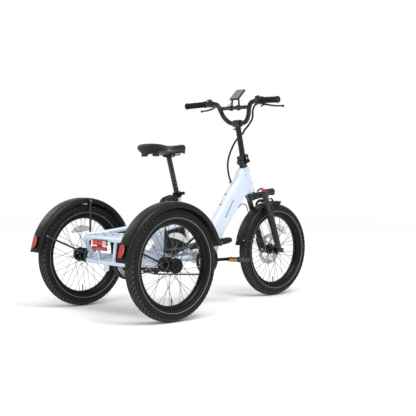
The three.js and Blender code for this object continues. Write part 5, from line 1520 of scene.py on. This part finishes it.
def make_front_fender():
    crown = TYRE_RADIUS + 18
    shell = fender(0, FRONT_Y, 40, crown, TYRE_RADIUS - 4, 7, 94, 48, 20)
    tip = on_round(0, 12, crown, FRONT_Y)
    screws = [socket_screw(on_round(u, 13, crown - 2.4, FRONT_Y), outward(13), 4.4, 2.4) for u in (-26, 26)]
    wires = []
    for sign in (1, -1):
        path = smooth([on_round(sign * 37, 13, crown - 12, FRONT_Y), on_round(sign * 47, 14, crown - 26,
                FRONT_Y),
                       on_round(sign * 60, 22, 130, FRONT_Y), at(sign * (LEG_X + 1), FRONT_Y + 20,
                               AXLE_Z + 10)], 24)
        wires.append(swept(path, 1.7, 10))
    bracket = block(at(-11, tip.y - 6, tip.z - 4), at(11, tip.y + 1, tip.z + 6), 1.5)
    hanger = swept(smooth([on_round(0, 88, crown - 1, FRONT_Y), on_round(0, 86, crown + 12, FRONT_Y),
                           on_leg(0, -92, 30)], 12), 5, 12, flat=0.5)
    piece("front_fender_shell", "fork_slider", [
        (polypropylene, shell), (enamel_black, *wires, hanger), (zinc_plate, *screws),
    ], ["front_fender"], sharp=50)
    return bracket


def steer_block(low, high, edge=2.0):
    """A block along the steering axis: y runs rearwards from it and z up along it."""
    return moved(block(low, high, edge, 3), STEER_FRAME)


def make_front_brake():
    x = FRONT_DISC_X
    up = -AXLE_UP
    sides = [steer_block(at(x + 1.7, -26, up + 34), at(x + 11, 14, up + 100), 3),
             steer_block(at(x - 11, -26, up + 34), at(x - 1.7, 14, up + 100), 3),
             steer_block(at(x - 10, -24, up + 89.4), at(x + 10, 12, up + 100), 3)]
    mount = rod(on_steer(x + 9, 12, up + 54), on_steer(LEG_X - 14, 24, up + 54), 7, sides=20)
    mount_top = rod(on_steer(x + 9, 8, up + 88), on_steer(LEG_X - 14, 26, up + 92), 6, sides=20)
    bolts = [socket_screw(on_steer(x - 11, 4, up + rise), -X, 5, 2.6) for rise in (50, 84)]
    side_bolts = [socket_screw(on_steer(x + 11, 4, up + rise), X, 4, 2) for rise in (50, 84)]
    piece("caliper_front_body", "fork_slider", [
        (cast_shell, *sides, mount, mount_top), (black_oxide, *bolts, *side_bolts),
    ], ["front_caliper"])


def make_headlamp():
    rear, front = on_steer(0, 100, -45), on_steer(0, 176, -71)
    axis = front - rear
    length = axis.length
    barrel = turned([(0, 0), (12.4, 0), (13, 0.6), (17, 0.1 * length), (18, 0.14 * length), (18.3,
            0.3 * length),
                     (17.4, 0.32 * length), (17.4, 0.34 * length), (18.5, 0.36 * length), (19, 0.6 * length),
                     (20, 0.84 * length), (20.4, 0.88 * length), (21, 0.9 * length), (21, length - 5),
                     (19.6, length - 5), (18, length - 9), (0, length - 9)], rear, axis, 48)
    fins = [torus(rear + axis * share, axis, 17.6, 0.9, 48) for share in (0.18, 0.22, 0.26)]
    ring = turned([(21.3, length - 5), (21.3, length - 0.6), (20.4, length), (17.6, length), (17.6,
            length - 5)], rear,
                  axis, 48, closed=True)
    glass = turned([(0, length - 6), (17.4, length - 6), (17.4, length - 3), (12, length - 1.6), (0,
            length - 0.8)],
                   rear, axis, 48)
    arm = swept(smooth([on_steer(0, 57, -20), on_steer(0, 84, -17), on_steer(0, 100, -21), on_steer(0, 114,
            -36)], 24),
                4.8, 16, flat=0.7)
    lead = swept(smooth([on_steer(6, 98, -52), on_steer(12, 84, -56), on_steer(14, 66, -46), on_steer(10, 50,
            -34)], 24),
                 2.2, 10)
    piece("headlamp_barrel", "steering", [
        (abs_gloss, barrel, *fins), (lens_amber, ring), (lamp_glass, glass), (enamel_black, arm),
        (zinc_plate, socket_screw(on_steer(-5, 108, -28), -X, 3.6, 1.8)), (pvc_jacket, lead),
    ], ["headlight"])


# ---- folding stem ----
BAR_CENTRE = on_stem(0, STEM_LENGTH)
HINGE_HALF = 24


def make_stem():
    steer_up = on_steer(0, 0, 1) - HEAD_BOTTOM
    stem_up = on_stem(0, 1) - on_stem(0, 0)
    low_tube = turned([(15, HEAD_LENGTH + 0.4), (21.6, HEAD_LENGTH + 0.4), (22.4, HEAD_LENGTH + 2),
                       (22.4, HEAD_LENGTH + 8), (21, HEAD_LENGTH + 9.5), (21, HEAD_LENGTH + 11),
                       (22, HEAD_LENGTH + 12.5), (22, HINGE_UP - 8), (15, HINGE_UP - 8)], HEAD_BOTTOM, steer_up,
                       40,
                      closed=True)
    jaw = steer_block(at(-HINGE_HALF, -38, HINGE_UP - 24), at(HINGE_HALF, 22, HINGE_UP), 5)
    ear = steer_block(at(HINGE_HALF - 6, -22, HINGE_UP - 14), at(HINGE_HALF + 7, 8, HINGE_UP - 2), 3)
    pin = rod(on_steer(HINGE_HALF + 1, 22, HINGE_UP - 8), on_steer(HINGE_HALF + 1, -8, HINGE_UP - 8), 4,
              sides=20)
    screws = [socket_screw(on_steer(0, -24, HINGE_UP - 30 + rise), on_steer(0, -1, 0) - HEAD_BOTTOM, 4, 2)
              for rise in (0, 14)]
    ring = torus(on_steer(0, 0, HEAD_LENGTH + 24), steer_up, 22, 1.7, 40)
    piece("stem_lower_jaw", "steering", [
        (enamel_black, low_tube, jaw, ear, ring), (zinc_plate, pin), (black_oxide, *screws),
    ], ["stem_base"], sharp=42)

    upper_jaw = steer_block(at(-HINGE_HALF, -38, HINGE_UP + 0.4), at(HINGE_HALF - 1, 14, HINGE_UP + 22), 5)
    fluted = []
    for share in [i / 20 for i in range(21)]:
        up = 8 + (STEM_LENGTH - 22) * share
        radius = 16 - share
        ring_points = []
        for i in range(60):
            turn = TAU * i / 60
            flute = 1.1 * max(0.0, math.cos(6 * turn)) ** 3 * min(1, 8 * share, 8 * (1 - share))
            ring_points.append(on_stem((radius - flute) * math.cos(turn), up,
                    (radius - flute) * math.sin(turn)))
        fluted.append(ring_points)
    collar = turned([(0, 4), (21, 4), (20, 12), (17.4, 22), (16, 26), (0, 26)], on_stem(0, 0), stem_up, 40)
    clamp = cross(-26, 26, BAR_CENTRE.y, BAR_CENTRE.z, 20, 44, 2)
    split = [torus(BAR_CENTRE + X * u, X, 20, 1.0, 44) for u in (-18, 18)]
    clamp_bolts = both(socket_screw(BAR_CENTRE + at(12, -19.4, 5), at(0, -1, 0.25).normalized(), 3.6, 2.4),
                       socket_screw(BAR_CENTRE + at(12, -18.6, -8), at(0, -1, -0.35).normalized(), 3.6, 2.4))
    nub = rod(on_stem(0, STEM_LENGTH - 30), on_stem(36, STEM_LENGTH - 32), 4.5, sides=20)
    nub_collar = rod(on_stem(14, STEM_LENGTH - 31), on_stem(22, STEM_LENGTH - 31), 6.6, sides=24)
    piece("stem_column", "stem", [
        (enamel_black, loft(fluted), collar, upper_jaw, clamp, *split), (black_oxide, *clamp_bolts, nub_collar),
        (anodised_black, nub),
    ], ["stem_post"], sharp=42)
    latch = [steer_block(at(-HINGE_HALF - 9, -22, HINGE_UP - 20), at(-HINGE_HALF - 1.2, 4, HINGE_UP + 24), 3),
             steer_block(at(-HINGE_HALF - 12, -28, HINGE_UP - 22), at(-HINGE_HALF - 1.2, 10, HINGE_UP - 10), 3)]
    safety = steer_block(at(-HINGE_HALF - 10.4, -14, HINGE_UP), at(-HINGE_HALF - 8, -4, HINGE_UP + 14), 1)
    piece("hinge_latch", "latch", [
        (anodised_black, *latch), (zinc_plate, safety),
    ], ["stem_latch"])


# ---- handlebar, grips and controls ----
GRIP_START = at(218, -748, 1097)
GRIP_WAY = at(137, 25, -6).normalized()
BAR_HALF = 355.5
GRIP_REACH = (BAR_HALF - GRIP_START.x) / GRIP_WAY.x
CROSSBAR_Y = -764
CROSSBAR_Z = 1068


def grip_point(distance):
    return GRIP_START + GRIP_WAY * distance


def mirror_point(point, sign):
    return at(sign * point.x, point.y, point.z)


def make_handlebar():
    half = [
        BAR_CENTRE + at(30, 0, 0), at(66, BAR_CENTRE.y + 2, BAR_CENTRE.z + 10), at(96, -772, 1022), at(113,
                -760, 1062),
        at(128, -756, 1087), at(158, -756, 1097), at(192, grip_point(-26).y, grip_point(-26).z + 0.5),
        grip_point(0),
        grip_point(45), grip_point(90), grip_point(GRIP_REACH - 5),
    ]
    path = smooth([mirror_point(p, -1) for p in reversed(half)] + [BAR_CENTRE] + half, 150)
    bar = swept(path, lambda share: 12.5 + 1.4 * max(0.0, 1 - abs(share - 0.5) / 0.07), 28)
    crossbar = cross(-110, 110, CROSSBAR_Y, CROSSBAR_Z, 10.5, 32)
    welds = both(torus(at(108, CROSSBAR_Y, CROSSBAR_Z), X, 10.6, 2.2, 28))
    piece("handlebar_tube", "stem", [(enamel_black, bar, crossbar, *welds)], ["handlebar"],
          sharp=50)
    for side, sign in SIDES:
        start, way = mirror_point(GRIP_START, sign), mirror_point(GRIP_WAY, sign)
        reach = GRIP_REACH
        profile = [(13, 0), (18.6, 0), (19.5, 1.2), (19.5, 6), (18.4, 7.4), (16.6, 8.4)]
        along = 9.5
        while along < reach - 9:
            profile += [(15.3, along), (15.3, along + 0.9), (16.5, along + 1.5), (16.5, along + 3.2)]
            along += 3.8
        profile += [(16.4, reach - 8.4), (18, reach - 7.4), (18.5, reach - 6), (18.5, reach - 2), (17, reach),
                    (0, reach)]
        rubber = turned(profile, start, way, 48)
        lock = tube_ring(16.2, 19.8, 0.4, 6.4, start, way)
        plug = rod(start + way * (reach - 0.6), start + way * (reach + 0.8), 10, sides=28)
        piece(f"ribbed_grip_{side}", "stem", [
            (grip_rubber, rubber), (anodised_black, lock), (nylon, plug),
        ], [f"grip_{side}"], sharp=40)


DISPLAY_LOW = at(0, -750, 1115)
DISPLAY_HIGH = at(0, -808, 1173)


def make_display():
    up = (DISPLAY_HIGH - DISPLAY_LOW).normalized()
    face = at(0, up.z, -up.y)
    length = (DISPLAY_HIGH - DISPLAY_LOW).length

    def place(u, v, depth):
        return DISPLAY_LOW + X * u + up * (v + length / 2) + face * depth

    outline = rounded([(-34, -41), (34, -41), (34, 41), (-34, 41)], 7, 5)
    body = pillow(outline, [(-12, 6), (-11.4, 4.4), (-9, 0.6), (-8, 0), (-1.2, 0), (-0.4, 0.5), (0, 1.2)],
                  place)
    screen = plate(rounded([(-29, -34), (29, -34), (29, 36), (-29, 36)], 4, 4), -0.6, 0.12, place)
    posts, clamps = [], []
    for sign in (1, -1):
        foot = at(sign * 28, CROSSBAR_Y, CROSSBAR_Z)
        clamps.append(tube_ring(10.9, 16, -6, 6, foot, X))
        posts.append(rod(foot + at(0, -4, 12), place(sign * 24, 16 - length / 2, -9), 5.6, 5.0, 20))
    bridge = rod(place(-26, 16 - length / 2, -10), place(26, 16 - length / 2, -10), 5.4, sides=20)
    screws = both(socket_screw(at(28, CROSSBAR_Y + 15, CROSSBAR_Z + 4), at(0, 1, 0.2).normalized(), 3, 1.6))
    lead = swept(smooth([place(14, 12 - length / 2, -11), at(22, -758, 1096), at(38, -748, 1082), at(52, -756,
            1070),
                         at(58, -764, 1058)], 30), 1.7, 10)
    piece("display_panel", "display_unit", [
        (abs_gloss, body), (screen_film, screen), (nylon, *clamps, *posts, bridge), (black_oxide, *screws),
        (pvc_jacket, lead),
    ], ["display"], sharp=36)


LEVER_TIP = {"left": 292, "right": 336}
PIVOT_X, PIVOT_Y, PIVOT_Z = 176, -786, 1086


def make_controls():
    for side, sign in SIDES:
        def place(x, y, z):
            return at(sign * x, y, z)

        hump = 14 if side == "left" else 16
        clamp = rod(place(168, -756, 1096), place(212, -750, 1098), 17.6, sides=36, edge=2.5)
        band = torus(place(190, -753, 1097), place(44, 6, 2) - place(0, 0, 0), 17.6, 1.3, 36)
        neck = rod(place(PIVOT_X, -756, 1100), place(PIVOT_X, PIVOT_Y, PIVOT_Z + 14), 7, sides=20)
        boss = rod(place(PIVOT_X, PIVOT_Y, PIVOT_Z + 7.4), place(PIVOT_X, PIVOT_Y, PIVOT_Z + 20), 10, sides=28,
                   edge=1.6)
        dome = rod(place(184, -752, 1104), place(184, -744, 1122), hump, hump - 3, 32, edge=4)
        dome_out = rod(place(200, -752, 1104), place(200, -746, 1116), hump - 2, hump - 4, 32, edge=4)
        tank = rod(place(150, -770, 1092), place(172, -778, 1100), 9, 9, 24, edge=3)
        bolts = [socket_screw(place(PIVOT_X, PIVOT_Y, PIVOT_Z + 20), Z, 4.6, 1.6),
                 socket_screw(place(190, -768, 1106), at(0, -0.8, 0.6), 3.2, 1.6)]
        piece(f"control_housing_{side}", "stem", [
            (nylon, clamp, band, dome, dome_out), (cast_shell, neck, boss, tank), (black_oxide, *bolts),
        ], [f"control_{side}"])
        tip = LEVER_TIP[side]
        path = smooth([place(PIVOT_X + 4, PIVOT_Y, PIVOT_Z), place(PIVOT_X + 30, PIVOT_Y - 12, PIVOT_Z - 8),
                       place(0.5 * (PIVOT_X + tip) + 12, PIVOT_Y - 10, PIVOT_Z - 18), place(tip, PIVOT_Y,
                               PIVOT_Z - 23)], 44)
        blade = swept(path, lambda share: 6.2 - 1.6 * share, 18, flat=0.75)
        knuckle = rod(place(PIVOT_X, PIVOT_Y, PIVOT_Z - 7), place(PIVOT_X, PIVOT_Y, PIVOT_Z + 7), 8.5, sides=28,
                      edge=1.4)
        ball_centre = place(tip, PIVOT_Y, PIVOT_Z - 23)
        ball = turned([(7 * math.sin(math.pi * i / 14), -7 * math.cos(math.pi * i / 14)) for i in range(15)],
                      ball_centre, X, 24)
        piece(f"brake_blade_{side}", f"lever_{side}", [(forged_grey, blade, knuckle, ball)],
              [f"brake_lever_{side}"], sharp=50)

    low, high = (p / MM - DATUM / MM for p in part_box("button_pad"))
    plinth = block(low, at(high.x, high.y - 1.4, high.z), 1.2, 3)
    keys = [block(at(low.x + 2, low.y + 2, low.z + 1.6 + 6.2 * i), at(high.x - 2, high.y,
            low.z + 6.8 + 6.2 * i), 1, 2)
            for i in range(2)]
    piece("assist_keys", "buttons", [(nylon, plinth), (machined_grey, *keys)], ["button_pad"])
    pivot = at(-206, -776, 1078)
    paddle = swept(smooth([pivot, pivot + at(-7, 17, -7), pivot + at(-14, 34, -14)], 14),
                   lambda t: 3.6 + 1.0 * t, 14,
                   flat=0.7)
    piece("shift_paddle", "shifter", [
        (nylon, rod(pivot - Z * 6, pivot + Z * 4, 8, sides=28), paddle),
        (zinc_plate, socket_screw(pivot - Z * 6, -Z, 3, 1.4)),
    ], ["shift_lever"])
    pivot = at(-205, -724, 1092)
    tongue = swept(smooth([pivot, pivot + at(-2, 4, -11), pivot + at(-4, 8, -22)], 14), lambda t: 3.8 + 0.8 * t,
                   14,
                   flat=0.8)
    piece("thumb_lever", "thumb_throttle", [
        (nylon, cross(pivot.x - 6, pivot.x + 6, pivot.y, pivot.z, 7, 28, 1.2), tongue),
    ], ["throttle"])


# ---- cables ----
LOOM = [at(-150, -794, 1088), at(-126, -792, 1078), at(-114, -788, 1048), at(-103, -798, 1010), at(-72, -804,
        976),
        at(-30, -814, 948), at(2, -827, 926), at(24, -814, 902), at(28, -788, 868), at(24, -752, 812),
        at(18, -732, 762), at(12, -730, 712), at(8, -740, 672), at(7, -747, 660)]
LOOM_SPLIT = 0.62
HOSE = [at(31, -775, 540), at(42, -800, 512), at(54, -845, 506), at(74, -905, 530), at(92, -960, 520),
        at(94, -1000, 430), at(90, -1020, 360), at(70, -1016, 330)]


def row(point):
    """The frame's metres."""
    return point * MM + DATUM


def make_cables():
    path = smooth(LOOM, 560)
    split = round(LOOM_SPLIT * 560)

    def ribbed(part):
        """Corrugated conduit: the radius rises and falls once every 4 mm or so."""
        return swept(part, lambda share: 5.1 + 0.55 * math.cos(share * (len(part) - 1) * TAU / 4), 14)

    upper = piece("loom_upper_conduit", "stem", [(pvc_jacket, ribbed(path[:split]))],
                  ["upper_cable"], sharp=70, ride=False)
    row(path[round(0.42 * 560)])
    row(path[split])
    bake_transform(upper)
    lower = piece("loom_lower_conduit", "frame", [(pvc_jacket, ribbed(path[split + 1:]))],
                  ["lower_cable"], sharp=70, ride=False)
    row(path[split + 1])
    row(path[-1])
    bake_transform(lower)
    hose_path = smooth(HOSE, 90)
    hose = piece("brake_hose_jacket", "steering", [
        (pvc_jacket, swept(hose_path, 2.6, 12)),
    ], ["brake_hose"], ride=False)
    row(hose_path[52])
    row(hose_path[78])
    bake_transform(hose)


# ---- floor, lights and camera ----
def make_stage():
    floor = bpy.data.meshes.new("floor")
    form = bmesh.new()
    for x, y in ((-9, -9), (9, -9), (9, 9), (-9, 9)):
        form.verts.new((x, y, -0.0005))
    form.faces.new(form.verts[:])
    form.to_mesh(floor)
    form.free()
    floor.materials.append(studio_paper)
    made = bpy.data.objects.new("floor", floor)
    bpy.context.collection.objects.link(made)
    world = bpy.data.worlds.new("studio")
    bpy.context.scene.world = world
    world.use_nodes = True
    backdrop = world.node_tree.nodes["Background"]
    backdrop.inputs["Color"].default_value = (1, 1, 1, 1)
    seen = node(world.node_tree, "ShaderNodeLightPath").outputs["Is Camera Ray"]
    level = node(world.node_tree, "ShaderNodeMapRange", {"Value": seen, "To Min": 0.6, "To Max": 1.0})
    world.node_tree.links.new(level.outputs["Result"], backdrop.inputs["Strength"])
    bpy.context.scene.view_settings.view_transform = "Standard"
    target = Vector((0, 0, 0.45))
    sky = make_light("overhead", (-1.6, 0.8, 4.0), target, 1.0, 2.0)
    sky.data = bpy.data.lights.new("overhead sun", "SUN")
    sky.data.energy = 1.9
    sky.data.angle = math.radians(50)
    make_light("key", (-2.6, 0.6, 3.4), target, 1.2, 40)
    make_light("rear fill", (-0.6, 4.2, 2.2), target, 1.6, 22)
    make_light("side fill", (-4.0, -1.4, 1.6), target, 1.6, 12)
    make_light("far side", (3.6, 1.0, 2.6), target, 1.8, 14)


make_rear_wheels()
make_front_wheel()
brake_disc("disc_front", "front_wheel", "front_rotor", 16)
brake_disc("disc_rear", "rear_wheel_right", "rear_rotor", 16)
make_main_frame()
make_rear_frame()
make_motor()
make_rear_caliper()
make_drive()
make_cranks()
make_fenders()
make_tail_lamp()
make_seat()
make_battery()
make_fork()
make_front_fender()
make_front_brake()
make_headlamp()
make_stem()
make_handlebar()
make_display()
make_controls()
make_cables()
make_stage()
make_camera()
